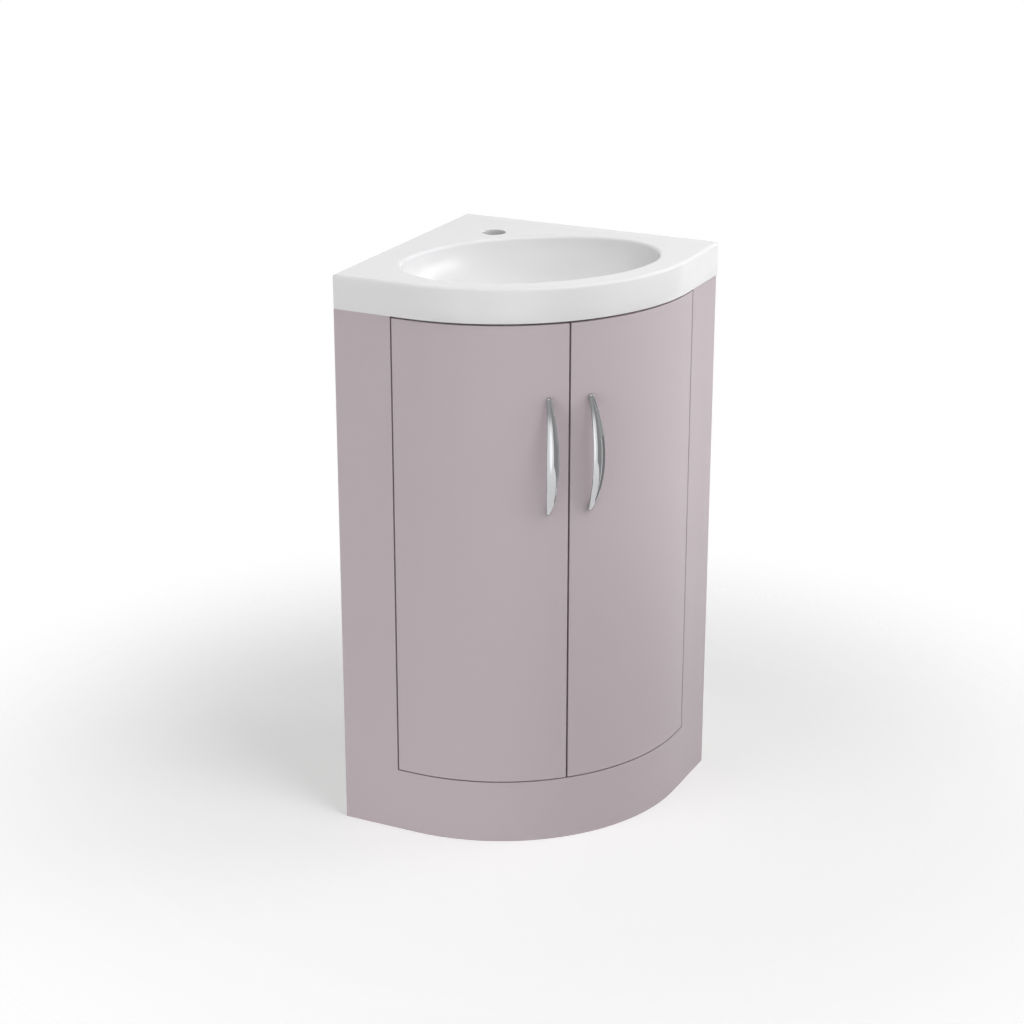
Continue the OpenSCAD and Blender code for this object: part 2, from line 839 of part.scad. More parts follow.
// Mounting plate on the hinge post, with a spine that the arm clips over
module hinge_plate() {
    seat = -side_gap;
    spine_top = arm_top_x - web_t;
    difference() {
        union() {
            translate([seat, plate_y - plate_w / 2, -plate_half_h]) cube([plate_t, plate_w, 2 * plate_half_h]);
            translate([seat, plate_y - plate_w / 2, -spine_half_h])
                cube([spine_top - seat, arm_end_y - plate_y + plate_w / 2, 2 * spine_half_h]);
        }
        plate_screw_shanks(fit_gap);
        arm_screw_shank(fit_gap);
    }
}

module left_hinge_plates() {
    color(zinc) from_corner() at_hinges() hinge_plate();
}

module right_hinge_plates() {
    color(zinc) from_corner() right_hand() at_hinges() hinge_plate();
}

// Shanks of a plate's screws
module plate_screw_shanks(extra) {
    for (side = [-1, 1]) translate([0, plate_y, side * plate_screw_z])
        rod_x(-side_gap - plate_screw_len - extra, -side_gap + plate_t + extra, plate_screw_d / 2 + extra);
}

// Screws that hold the mounting plates on the posts
module plate_screws() {
    seat = -side_gap + plate_t;
    color(zinc) from_corner() both_hands() at_hinges() {
        plate_screw_shanks(0);
        for (side = [-1, 1]) translate([0, plate_y, side * plate_screw_z])
            rod_x(seat, seat + plate_head_t, plate_head_d / 2);
    }
}

// Screws that hold the arms on the mounting plates
module arm_screws() {
    color(zinc) from_corner() both_hands() at_hinges() {
        arm_screw_shank(0);
        translate([0, arm_screw_y, 0]) rod_x(arm_top_x, arm_top_x + arm_head_t, arm_screw_d / 2 + arm_head_t);
    }
}

basin();
front_frame();
left_wall_panel();
right_wall_panel();
base_panel();
shelf();
shelf_pegs();
left_hinge_post();
right_hinge_post();
top_rail();
door_buffers();
frame_dowels();
panel_screws();
left_door();
left_handle();
left_handle_screws();
left_hinge_cups();
left_cup_screws();
left_hinge_links();
left_link_pins();
left_hinge_arms();
left_hinge_plates();
right_door();
right_handle();
right_handle_screws();
right_hinge_cups();
right_cup_screws();
right_hinge_links();
right_link_pins();
right_hinge_arms();
right_hinge_plates();
plate_screws();
arm_screws();
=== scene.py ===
# %% [markdown]
# # A corner vanity unit, piece by piece
# This lesson dresses a small bathroom cabinet that stands in the corner of a room: a curved front
# with two doors, an inset basin with an oval bowl, and two chrome bow handles. The joiner's model
# of the unit is already there, at its real size, with every panel, hinge and screw. Here each of
# those pieces gets the surface that it has on the real object, and the pieces whose beauty is in
# their curves are built again as smooth meshes in the same place.
#
# The unit's own lengths are written in millimetres, as a joiner writes them, and `mm()` turns them
# into Blender's metres. The camera, the lamps, the floor and the cards are placed in metres.

# %% The frame that everything is built around
import json
import math

import bmesh
import bpy
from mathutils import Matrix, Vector


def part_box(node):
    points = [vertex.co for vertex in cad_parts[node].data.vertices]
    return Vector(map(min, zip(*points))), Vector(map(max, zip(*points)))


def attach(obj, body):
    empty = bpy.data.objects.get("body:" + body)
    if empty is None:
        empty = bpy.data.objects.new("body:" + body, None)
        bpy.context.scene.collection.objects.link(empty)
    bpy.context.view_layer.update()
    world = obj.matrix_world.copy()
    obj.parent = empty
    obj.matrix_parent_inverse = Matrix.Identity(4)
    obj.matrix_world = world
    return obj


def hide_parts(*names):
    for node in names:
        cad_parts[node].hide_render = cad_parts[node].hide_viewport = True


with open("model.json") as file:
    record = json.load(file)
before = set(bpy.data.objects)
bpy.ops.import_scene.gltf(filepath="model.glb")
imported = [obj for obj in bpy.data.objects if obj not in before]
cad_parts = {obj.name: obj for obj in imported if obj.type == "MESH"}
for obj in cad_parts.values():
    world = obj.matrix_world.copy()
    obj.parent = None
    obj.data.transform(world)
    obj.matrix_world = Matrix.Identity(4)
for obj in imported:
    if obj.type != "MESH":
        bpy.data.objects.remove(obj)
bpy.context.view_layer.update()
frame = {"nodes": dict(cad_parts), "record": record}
nodes = frame["nodes"]


# %% Millimetres
def mm(*lengths):
    """One length, or several, from millimetres to metres."""
    metres = [length / 1000 for length in lengths]
    return metres[0] if len(metres) == 1 else metres


def in_mm(vector):
    """A point in metres, as plain millimetres."""
    return [1000 * part for part in vector]


basin_low, basin_high = (in_mm(corner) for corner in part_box("basin"))
frame_low, frame_high = (in_mm(corner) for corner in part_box("front_frame"))
BASIN_LEG = basin_high[0] - basin_low[0]
BASIN_TOP = basin_high[2]
CABINET_TOP = frame_high[2]
CABINET_LEG = frame_high[0] - frame_low[0]
HALF_LEG = BASIN_LEG / 2
print("basin leg", round(BASIN_LEG, 1), "top", round(BASIN_TOP, 1))
print("cabinet top", round(CABINET_TOP, 1))

# %% [markdown]
# ## The camera
# The photograph looks at the unit from its front left, and a little from above, so that the oval
# bowl shows. The lens is long, because the upright edges of the cabinet hardly lean together. The
# camera is made first, since every later choice is judged through it. Its place could be found by
# eye, but here it was worked out from the corners of the unit in the photograph.

# %% Camera
CAMERA_PLACE = (1.4585, -3.0506, 1.7076)
CAMERA_TURN = 26.0    # degrees round the unit, to the right of a straight look along +Y
CAMERA_RISE = 20.26   # degrees that the camera looks down
CAMERA_LENS = 84.71   # millimetres, on a sensor 36 mm wide

camera_data = bpy.data.cameras.new("camera")
camera_data.lens = CAMERA_LENS
camera_data.sensor_width = 36
camera = bpy.data.objects.new("camera", camera_data)
camera.location = CAMERA_PLACE
camera.rotation_euler = (math.radians(90 - CAMERA_RISE), 0, math.radians(CAMERA_TURN))
bpy.context.scene.collection.objects.link(camera)
bpy.context.scene.camera = camera
print("camera at", CAMERA_PLACE)

# %% [markdown]
# ## Light, floor and background
# The photograph is a plain product picture on white. Its shading tells where the lamps stood: the
# top and the right side of the unit are bright, the left end of the bowl is nearly white, and the
# right side grows darker towards the floor. So a key lamp hangs high on the right in front, a fill
# lamp stands on the left, and lamps behind grids light the bowl and the right side without reaching
# the floor. Three of those stand in a row, and the glaze mirrors them as one soft bright band at
# the left end of the bowl. Weaker lamps behind, overhead and by the floor even out the rest. Each
# is a softbox: the larger a lamp is, the softer its shadows. The powers were found by rendering the
# unit once under each lamp alone, asking for the sum that comes nearest to the photograph, and
# trimming that. The world gives the rest of the light, and is pure white where the camera, a
# mirror or glass looks at it. The floor is a pale disc that fades into that white, so the shadow of
# the unit stays and no horizon shows.

# %% [markdown]
# Shaders are built from nodes, and three small nets of nodes come back in the world, the floor and
# the cards: a sum, a mix of two shaders, and a fade with the distance from an object's middle. Each
# gets a function here, so that the cells below say only what is their own.

# %% Short ways to write shader nodes
def math_node(tree, operation, first, second):
    """The result of a math node, whose two inputs are sockets or plain numbers."""
    node = tree.nodes.new("ShaderNodeMath")
    node.operation = operation
    for socket, value in zip(node.inputs, (first, second)):
        if isinstance(value, (int, float)):
            socket.default_value = value
        else:
            tree.links.new(value, socket)
    return node.outputs[0]


def mixed(tree, share, first, second):
    """Two shaders in one: the first where the share is 0, the second where it is 1."""
    mix = tree.nodes.new("ShaderNodeMixShader")
    for socket, value in zip(mix.inputs, (share, first, second)):
        tree.links.new(value, socket)
    return mix.outputs[0]


def clear_share(tree, solid, clear, mask=(1, 1, 1)):
    """How clear a surface is: 0 at the solid distance from its middle, and 1 at the clear one. The
    mask tells which directions count."""
    where = tree.nodes.new("ShaderNodeTexCoord")
    along_mask = tree.nodes.new("ShaderNodeVectorMath")
    along_mask.operation = "MULTIPLY"
    along_mask.inputs[1].default_value = mask
    tree.links.new(where.outputs["Object"], along_mask.inputs[0])
    distance = tree.nodes.new("ShaderNodeVectorMath")
    distance.operation = "LENGTH"
    tree.links.new(along_mask.outputs["Vector"], distance.inputs[0])
    fade = tree.nodes.new("ShaderNodeMapRange")
    fade.interpolation_type = "SMOOTHSTEP"
    fade.inputs["From Min"].default_value = min(solid, clear)
    fade.inputs["From Max"].default_value = max(solid, clear)
    fade.inputs["To Min"].default_value = 0.0 if solid < clear else 1.0
    fade.inputs["To Max"].default_value = 1.0 if solid < clear else 0.0
    tree.links.new(distance.outputs["Value"], fade.inputs["Value"])
    return fade.outputs["Result"]


# %% World
PLAIN_WHITE = (1.0, 1.0, 1.0, 1.0)
AMBIENT = 0.18

world = bpy.data.worlds.new("white_studio")
bpy.context.scene.world = world
world.use_nodes = True
sky = world.node_tree
sky.nodes.clear()
seen_by = sky.nodes.new("ShaderNodeLightPath")
looked_at = math_node(
    sky, "MAXIMUM", seen_by.outputs["Is Camera Ray"], seen_by.outputs["Is Glossy Ray"])
looked_at = math_node(sky, "MAXIMUM", looked_at, seen_by.outputs["Is Transmission Ray"])
skies = []
for strength in (AMBIENT, 1.0):     # the light of the room, and the white that is looked at
    background = sky.nodes.new("ShaderNodeBackground")
    background.inputs["Color"].default_value = PLAIN_WHITE
    background.inputs["Strength"].default_value = strength
    skies.append(background.outputs[0])
sky_out = sky.nodes.new("ShaderNodeOutputWorld")
sky.links.new(mixed(sky, looked_at, *skies), sky_out.inputs["Surface"])
bpy.context.scene.view_settings.view_transform = "Standard"
print("world ambient", AMBIENT)


# %% Lamps
UNIT_MIDDLE = (0.0, 0.0, 0.5)
BOWL_END = (-0.1, -0.08, 0.8)       # the left end of the bowl
SPOT_ANGLES = {"right": 10, "middle": 24, "left": 38}   # degrees round the unit from its right
SPOT_DISTANCE, SPOT_HEIGHT = 2.0, 1.2


def softbox(name, place, size, watts, aim=UNIT_MIDDLE, grid=180, mirrored=True):
    """A flat lamp, that many metres wide and high, turned to shine on a point. A grid, in degrees,
    narrows its light. A lamp that isn't mirrored lights the unit but leaves no highlight in glaze
    and chrome."""
    lamp = bpy.data.lights.new(name, "AREA")
    lamp.shape = "RECTANGLE"
    lamp.size, lamp.size_y = size
    lamp.energy = watts
    lamp.spread = math.radians(grid)
    lamp_object = bpy.data.objects.new(name, lamp)
    lamp_object.location = place
    lamp_object.rotation_euler = (Vector(aim) - Vector(place)).to_track_quat("-Z", "Y").to_euler()
    lamp_object.visible_glossy = mirrored
    bpy.context.scene.collection.objects.link(lamp_object)


softbox("key_lamp", (1.8, -0.6, 3.0), (1.6, 1.6), 33.3, mirrored=False)
softbox("fill_lamp", (-1.6, -2.8, 1.5), (2.0, 2.0), 25.8, mirrored=False)
softbox("bowl_lamp", (1.73, 1.0, 1.73), (0.8, 0.8), 0.62,
        aim=(0.05, 0.0, 0.85), grid=40, mirrored=False)
softbox("side_lamp", (2.12, 0.37, 1.26), (0.8, 0.8), 0.2,
        aim=(0.15, 0.0, 0.75), grid=35, mirrored=False)
for side, angle in SPOT_ANGLES.items():
    out = math.radians(angle)
    place = (SPOT_DISTANCE * math.cos(out), SPOT_DISTANCE * math.sin(out), SPOT_HEIGHT)
    softbox(side + "_bowl_spot", place, (0.7, 0.9), 0.09, aim=BOWL_END, grid=22)
softbox("low_side_lamp", (1.54, 1.54, 0.49), (0.8, 0.8), 0.62,
        aim=(0.2, 0.1, 0.3), grid=34, mirrored=False)
softbox("back_lamp", (2.2, 2.2, 1.8), (2.4, 2.0), 4)
softbox("top_lamp", (0.0, 0.0, 3.2), (2.0, 2.0), 13.4, mirrored=False)
softbox("floor_lamp", (-0.1, -2.2, 0.3), (1.0, 0.6), 5.6, aim=(0.0, 0.0, 0.2), mirrored=False)

# %% Floor
FLOOR_REACH = 4.0     # metres from the middle to the edge of the disc
FLOOR_FADE = (0.45, 1.15)     # metres from the middle where the disc starts to clear, and is clear
FLOOR_TONE = (0.95, 0.95, 0.95, 1.0)
FLOOR_LIFT = 0.24     # brightness that lights nothing, to bring the lit floor to white

floor_mesh = bpy.data.meshes.new("floor")
disc = bmesh.new()
bmesh.ops.create_circle(disc, cap_ends=True, radius=FLOOR_REACH, segments=96)
disc.to_mesh(floor_mesh)
disc.free()
floor = bpy.data.objects.new("floor", floor_mesh)
bpy.context.scene.collection.objects.link(floor)

floor_paint = bpy.data.materials.new("floor_paint")
floor_paint.use_nodes = True
tree = floor_paint.node_tree
tree.nodes.clear()
seen_by = tree.nodes.new("ShaderNodeLightPath")
seen = math_node(
    tree, "MAXIMUM", seen_by.outputs["Is Camera Ray"], seen_by.outputs["Is Glossy Ray"])
matt_floor = tree.nodes.new("ShaderNodeBsdfDiffuse")
matt_floor.inputs["Color"].default_value = FLOOR_TONE
floor_lift = tree.nodes.new("ShaderNodeEmission")
tree.links.new(math_node(tree, "MULTIPLY", seen, FLOOR_LIFT), floor_lift.inputs["Strength"])
lifted_floor = tree.nodes.new("ShaderNodeAddShader")
tree.links.new(matt_floor.outputs[0], lifted_floor.inputs[0])
tree.links.new(floor_lift.outputs[0], lifted_floor.inputs[1])
see_through = tree.nodes.new("ShaderNodeBsdfTransparent")
seen_fade = math_node(tree, "MULTIPLY", seen, clear_share(tree, *FLOOR_FADE))
floor_out = tree.nodes.new("ShaderNodeOutputMaterial")
faded_floor = mixed(tree, seen_fade, lifted_floor.outputs[0], see_through.outputs[0])
tree.links.new(faded_floor, floor_out.inputs["Surface"])
floor_mesh.materials.append(floor_paint)
print("floor reaches", FLOOR_REACH, "m")

# %% [markdown]
# ## Effects that several finishes share
# Paint, board, glaze and metal all vary a little over their surface: the tone drifts, the surface
# has a fine grain, and fingers leave duller patches. Each of these effects is made once, as a node
# group with named sockets, and placed in a material with that material's own values.


# %% A small tool for making node groups
def new_group(name, inputs, outputs):
    """An empty shader node group, with {name: default} inputs, floats or colours, and {name: type}
    outputs."""
    group = bpy.data.node_groups.new(name, "ShaderNodeTree")
    for socket_name, value in inputs.items():
        is_colour = isinstance(value, tuple)
        kind = "NodeSocketColor" if is_colour else "NodeSocketFloat"
        socket = group.interface.new_socket(socket_name, in_out="INPUT", socket_type=kind)
        socket.default_value = value
    for socket_name, kind in outputs.items():
        group.interface.new_socket(socket_name, in_out="OUTPUT", socket_type=kind)
    return group, group.nodes.new("NodeGroupInput"), group.nodes.new("NodeGroupOutput")


def noise_in(group, scale_socket, detail):
    """A noise texture in a group, in the piece's own coordinates."""
    where = group.nodes.new("ShaderNodeTexCoord")
    noise = group.nodes.new("ShaderNodeTexNoise")
    noise.inputs["Detail"].default_value = detail
    group.links.new(where.outputs["Object"], noise.inputs["Vector"])
    group.links.new(scale_socket, noise.inputs["Scale"])
    return noise


# %% Tone drift: the colour grows a little lighter and darker over the piece
tone_drift, given, made = new_group(
    "tone_drift",
    {"Color": (0.8, 0.8, 0.8, 1.0), "Scale": 6.0, "Amount": 0.03},
    {"Color": "NodeSocketColor"},
)
cloud = noise_in(tone_drift, given.outputs["Scale"], 3)
centred = math_node(tone_drift, "SUBTRACT", cloud.outputs["Fac"], 0.5)
swing = math_node(tone_drift, "MULTIPLY", centred, given.outputs["Amount"])
doubled = math_node(tone_drift, "MULTIPLY", swing, 2.0)
factor = math_node(tone_drift, "ADD", doubled, 1.0)
tinted = tone_drift.nodes.new("ShaderNodeVectorMath")
tinted.operation = "SCALE"
tone_drift.links.new(given.outputs["Color"], tinted.inputs[0])
tone_drift.links.new(factor, tinted.inputs["Scale"])
tone_drift.links.new(tinted.outputs["Vector"], made.inputs["Color"])
print("group", tone_drift.name)

# %% Fine grain: a height for a Bump node, from coarse swells and fine pimples
fine_grain, given, made = new_group(
    "fine_grain",
    {"Fine scale": 900.0, "Swell scale": 60.0, "Swell share": 0.4},
    {"Height": "NodeSocketFloat"},
)
pimples = noise_in(fine_grain, given.outputs["Fine scale"], 2)
swells = noise_in(fine_grain, given.outputs["Swell scale"], 1)
swell_part = math_node(fine_grain, "MULTIPLY", swells.outputs["Fac"], given.outputs["Swell share"])
height = math_node(fine_grain, "ADD", pimples.outputs["Fac"], swell_part)
fine_grain.links.new(height, made.inputs["Height"])
print("group", fine_grain.name)

# %% Touch marks: a roughness that is duller in soft patches
touch_marks, given, made = new_group(
    "touch_marks",
    {"Roughness": 0.3, "Spread": 0.1, "Scale": 30.0},
    {"Roughness": "NodeSocketFloat"},
)
patches = noise_in(touch_marks, given.outputs["Scale"], 4)
centred = math_node(touch_marks, "SUBTRACT", patches.outputs["Fac"], 0.5)
spread = math_node(touch_marks, "MULTIPLY", centred, given.outputs["Spread"])
rough = math_node(touch_marks, "ADD", given.outputs["Roughness"], spread)
touch_marks.links.new(rough, made.inputs["Roughness"])
print("group", touch_marks.name)


# %% [markdown]
# ## The finishes
# Each finish is one material: a Principled shader, with the shared effects feeding its colour,
# roughness and bump. A helper places the three groups, because every finish uses them, and each
# finish then adds what is its own.


# %% The helper for finishes
def srgb(red, green, blue):
    """A colour as a paint card gives it, from 0 to 255, as the shader's linear numbers."""
    def linear(level):
        share = level / 255
        return share / 12.92 if share <= 0.04045 else ((share + 0.055) / 1.055) ** 2.4
    return (linear(red), linear(green), linear(blue), 1.0)


def place_group(tree, group, **values):
    """A group node in a material, with its values by socket name."""
    node = tree.nodes.new("ShaderNodeGroup")
    node.node_tree = group
    for socket_name, value in values.items():
        node.inputs[socket_name.replace("_", " ")].default_value = value
    return node


def finish_of(name, colour, drift, marks, grain, bump_height, **shader_values):
    """A material with drifting colour, patchy roughness and a fine bump, and plain values on its
    shader."""
    material = bpy.data.materials.new(name)
    material.use_nodes = True
    tree = material.node_tree
    shader = tree.nodes["Principled BSDF"]
    tone = place_group(tree, tone_drift, Color=colour, Scale=drift[0], Amount=drift[1])
    tree.links.new(tone.outputs["Color"], shader.inputs["Base Color"])
    touch = place_group(tree, touch_marks, Roughness=marks[0], Spread=marks[1], Scale=marks[2])
    tree.links.new(touch.outputs["Roughness"], shader.inputs["Roughness"])
    texture = place_group(
        tree, fine_grain, Fine_scale=grain[0], Swell_scale=grain[1], Swell_share=grain[2])
    bump = tree.nodes.new("ShaderNodeBump")
    bump.inputs["Strength"].default_value = 1.0
    bump.inputs["Distance"].default_value = mm(bump_height)
    tree.links.new(texture.outputs["Height"], bump.inputs["Height"])
    tree.links.new(bump.outputs["Normal"], shader.inputs["Normal"])
    for socket_name, value in shader_values.items():
        shader.inputs[socket_name.replace("_", " ")].default_value = value
    return material


# %% [markdown]
# The doors, stiles and plinth are fibreboard sprayed with a matt mauve-grey paint. Sprayed paint
# dries with a faint orange-peel skin, which is what breaks up its soft shine.

# %% Painted board
PAINT = srgb(200, 188, 192)
painted_board = finish_of(
    "painted_board", PAINT, drift=(5.0, 0.012), marks=(0.50, 0.08, 14.0),
    grain=(420.0, 90.0, 0.8), bump_height=0.03,
)
print("finish", painted_board.name)

# %% [markdown]
# The hidden panels are chipboard with a white melamine skin, pressed with a fine pearl texture that
# feels like very fine sandpaper and keeps reflections soft.

# %% White melamine board
white_board = finish_of(
    "white_board", srgb(240, 240, 237), drift=(9.0, 0.012), marks=(0.42, 0.10, 25.0),
    grain=(1500.0, 350.0, 0.5), bump_height=0.05,
)
print("finish", white_board.name)

# %% [markdown]
# The basin is cast white and glazed. Its surface is nearly flat and glossy, with long soft swells
# that bend reflections a little. A coat gives the clear glass skin over the white body.

# %% Basin glaze
basin_glaze = finish_of(
    "basin_glaze", srgb(241, 240, 241), drift=(4.0, 0.008), marks=(0.21, 0.05, 18.0),
    grain=(240.0, 14.0, 3.0), bump_height=0.02, Coat_Weight=0.5, Coat_Roughness=0.16,
)
print("finish", basin_glaze.name)

# %% [markdown]
# The metals differ in their polish. The handles are bright chrome, the hinges are pressed steel
# with a satin nickel plate, and the screws are zinc plated, which is duller and a little blue.

# %% Metals
handle_chrome = finish_of(
    "handle_chrome", srgb(204, 205, 207), drift=(30.0, 0.01), marks=(0.055, 0.05, 60.0),
    grain=(160.0, 40.0, 1.0), bump_height=0.004, Metallic=1.0,
)
hinge_nickel = finish_of(
    "hinge_nickel", srgb(208, 205, 200), drift=(60.0, 0.04), marks=(0.34, 0.10, 120.0),
    grain=(1800.0, 300.0, 0.6), bump_height=0.02, Metallic=1.0,
)
screw_zinc = finish_of(
    "screw_zinc", srgb(200, 203, 210), drift=(150.0, 0.06), marks=(0.33, 0.14, 260.0),
    grain=(1400.0, 400.0, 0.8), bump_height=0.02, Metallic=1.0,
)
print("finishes", handle_chrome.name, hinge_nickel.name, screw_zinc.name)

# %% [markdown]
# Two small things are left: the beech dowels, whose plain wood needs only a stronger drift of tone
# and fine flecks, and the clear pads that the doors close against, which let some light in.

# %% Dowels and pads
dowel_wood = finish_of(
    "dowel_wood", srgb(214, 180, 132), drift=(90.0, 0.10), marks=(0.60, 0.10, 90.0),
    grain=(900.0, 120.0, 1.2), bump_height=0.05,
)
buffer_pad = finish_of(
    "buffer_pad", srgb(228, 228, 224), drift=(80.0, 0.03), marks=(0.32, 0.10, 150.0),
    grain=(700.0, 200.0, 0.6), bump_height=0.03, Transmission_Weight=0.35, IOR=1.45,
)
print("finishes", dowel_wood.name, buffer_pad.name)

# %% [markdown]
# ## The joiner's panels and fittings
# The flat and turned pieces of the frame already have the right shape, so they stay and get their
# finish. No real edge is perfectly sharp, and a soft edge is what catches the light along a door.
# Modifiers round every edge by its real radius without touching the mesh. A Weld joins the faces,
# since the frame keeps them apart, and a Decimate clears the needless lines across flat faces. Then
# a Bevel rounds each edge that turns by more than a set angle, and a Weighted Normal keeps the flat
# faces flat in the shading.

# %% Finish and edge radius of each kept node
FINISHES = {
    "painted_board": painted_board, "white_board": white_board, "basin_glaze": basin_glaze,
    "handle_chrome": handle_chrome, "hinge_nickel": hinge_nickel, "screw_zinc": screw_zinc,
    "dowel_wood": dowel_wood, "buffer_pad": buffer_pad,
}
EDGE_RADIUS = {     # millimetres
    "painted_board": 1.2, "white_board": 0.5, "hinge_nickel": 0.3, "screw_zinc": 0.25,
    "dowel_wood": 0.4, "buffer_pad": 0.6,
}
SHARP_TURN = 35     # degrees between two faces that make an edge
FLAT_TURN = 0.05    # degrees under which two faces count as one flat
JOIN_WITHIN = 0.005     # millimetres between points that are one


def dress(node_name, slot_name):
    """Gives a node of the frame its finish, and rounds its edges."""
    piece = nodes[node_name]
    piece.data.materials.clear()
    piece.data.materials.append(FINISHES[slot_name])
    radius = EDGE_RADIUS.get(slot_name)
    if radius:
        weld = piece.modifiers.new("join_faces", "WELD")
        weld.merge_threshold = mm(JOIN_WITHIN)
        flatten = piece.modifiers.new("clear_flats", "DECIMATE")
        flatten.decimate_type = "DISSOLVE"
        flatten.angle_limit = math.radians(FLAT_TURN)
        bevel = piece.modifiers.new("soft_edges", "BEVEL")
        bevel.width = mm(radius)
        bevel.segments = 3
        bevel.limit_method = "ANGLE"
        bevel.angle_limit = math.radians(SHARP_TURN)
        shade = piece.modifiers.new("flat_shading", "WEIGHTED_NORMAL")
        shade.keep_sharp = True
        shade.weight = 100
    for face in piece.data.polygons:
        face.use_smooth = True


slot_of = {part["node"]: part["material_slot"] for part in frame["record"]["subparts"]}
for node_name in sorted(nodes):
    dress(node_name, slot_of[node_name])
print("dressed", len(slot_of), "nodes")

# %% [markdown]
# ## Building smooth pieces from rings
# The basin and the handles are lofts: a row of closed rings with the same number of points, with a
# quad between each pair of neighbours. That gives clean, even faces that follow the form. One
# function builds such a mesh, and another turns it into a piece that rides on its body.


# %% Loft and piece
SMOOTH_BELOW = 40       # degrees between two faces that are shaded as one curve


def loft(rings, close_rows=False):
    """Points and faces of a surface through rings of equal length. With close_rows, the last ring
    meets the first."""
    count = len(rings[0])
    points = [point for ring in rings for point in ring]
    faces = []
    last = len(rings) if close_rows else len(rings) - 1
    for row in range(last):
        after = (row + 1) % len(rings)
        for i in range(count):
            j = (i + 1) % count
            faces.append((row * count + i, row * count + j, after * count + j, after * count + i))
    return points, faces


def solid_mesh(name, points, faces):
    """A mesh from points in millimetres, with its faces turned outwards and shaded smooth."""
    mesh = bpy.data.meshes.new(name)
    mesh.from_pydata([mm(*point) for point in points], [], faces)
    mesh.validate()
    work = bmesh.new()
    work.from_mesh(mesh)
    bmesh.ops.recalc_face_normals(work, faces=work.faces)
    work.to_mesh(mesh)
    work.free()
    for face in mesh.polygons:
        face.use_smooth = True
    return mesh


def new_piece(name, points, faces, body, slot_name, replaced, smooth_below=SMOOTH_BELOW):
    """A piece, smooth over turns below so many degrees, that stands for nodes of the frame."""
    mesh = solid_mesh(name, points, faces)
    mesh.set_sharp_from_angle(angle=math.radians(smooth_below))
    mesh.materials.append(FINISHES[slot_name])
    piece = bpy.data.objects.new(name, mesh)
    bpy.context.scene.collection.objects.link(piece)
    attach(piece, body)
    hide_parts(*replaced)
    return piece


# %% [markdown]
# ## The basin
# The real basin is one casting: a flat top with an upright edge all round, and a bowl that is half
# of a stretched ball. Where the top turns down, into the bowl and over the edge, the casting is
# rounded, and those soft turns carry all of its highlights. One long loft makes the whole casting.
# It starts at the waste hole, climbs the bowl, crosses the top, goes over and down the edge, and
# comes back underneath. The rings change from a circle to an oval and then to the plan of the unit,
# and every ring is sampled in the same directions from the bowl's middle, so the quads never twist.

# %% Sizes of the basin
BASIN_RADIUS = 303          # of the curved front
STRAIGHT = BASIN_LEG - BASIN_RADIUS
ARC_MIDDLE = (-HALF_LEG + STRAIGHT, HALF_LEG - STRAIGHT)
CORNER_RADIUS = 4           # upright corners
TOP_EDGE_RADIUS = 4.5
LIP_RADIUS = 5
BASIN_WALL = 10
BOWL_DEPTH = 120
FRONT_RIM = 37              # flat top in front of the bowl
WALL_RIM = 50               # flat top between the bowl and the wall sides
TAP_RIM = 25                # flat top between the bowl and the tap hole
TAP_FROM_CORNER = 131
TAP_RADIUS = 17.5
WASTE_RADIUS = 22.5
WASTE_SEAT_RADIUS = 32
WASTE_BOSS_RADIUS = 42
WASTE_SEAT_Z = BASIN_TOP - BOWL_DEPTH - 1
WASTE_UNDER_Z = WASTE_SEAT_Z - 12
BOWL_START = WASTE_SEAT_RADIUS + 1.5        # radius where the bowl's curve begins
FOOT_RADIUS = 1.5                           # of the upright side's lower edges

bowl_front = STRAIGHT * math.sqrt(2) + BASIN_RADIUS - FRONT_RIM
bowl_back = TAP_FROM_CORNER + TAP_RADIUS + TAP_RIM
bowl_from_corner = (bowl_front + bowl_back) / 2
BOWL_B = (bowl_front - bowl_back) / 2
bowl_reach = bowl_from_corner / math.sqrt(2) - WALL_RIM
BOWL_A = math.sqrt(2 * bowl_reach**2 - BOWL_B**2)
bowl_from_walls = bowl_from_corner / math.sqrt(2)
BOWL_MIDDLE = (-HALF_LEG + bowl_from_walls, HALF_LEG - bowl_from_walls)
OUTER_A, OUTER_B = BOWL_A + BASIN_WALL, BOWL_B + BASIN_WALL     # half sizes of its outer face
print("bowl", round(2 * BOWL_A, 1), "x", round(2 * BOWL_B, 1), "middle", BOWL_MIDDLE)


# %% The basin's outline, at any distance in from its edge
def arc_points(middle, radius, from_angle, to_angle, count):
    """Points along an arc, without its last one."""
    points = []
    for i in range(count):
        angle = math.radians(from_angle + (to_angle - from_angle) * i / count)
        points.append((middle[0] + radius * math.cos(angle), middle[1] + radius * math.sin(angle)))
    return points


def line_points(start, end, count):
    """Points along a straight line, without its last one."""
    return [
        (start[0] + (end[0] - start[0]) * i / count, start[1] + (end[1] - start[1]) * i / count)
        for i in range(count)
    ]


WALL_STEPS, END_STEPS, CORNER_STEPS, FRONT_STEPS = 34, 12, 7, 88
LEAST_CORNER = 0.4      # radius that an upright corner keeps when the outline shrinks


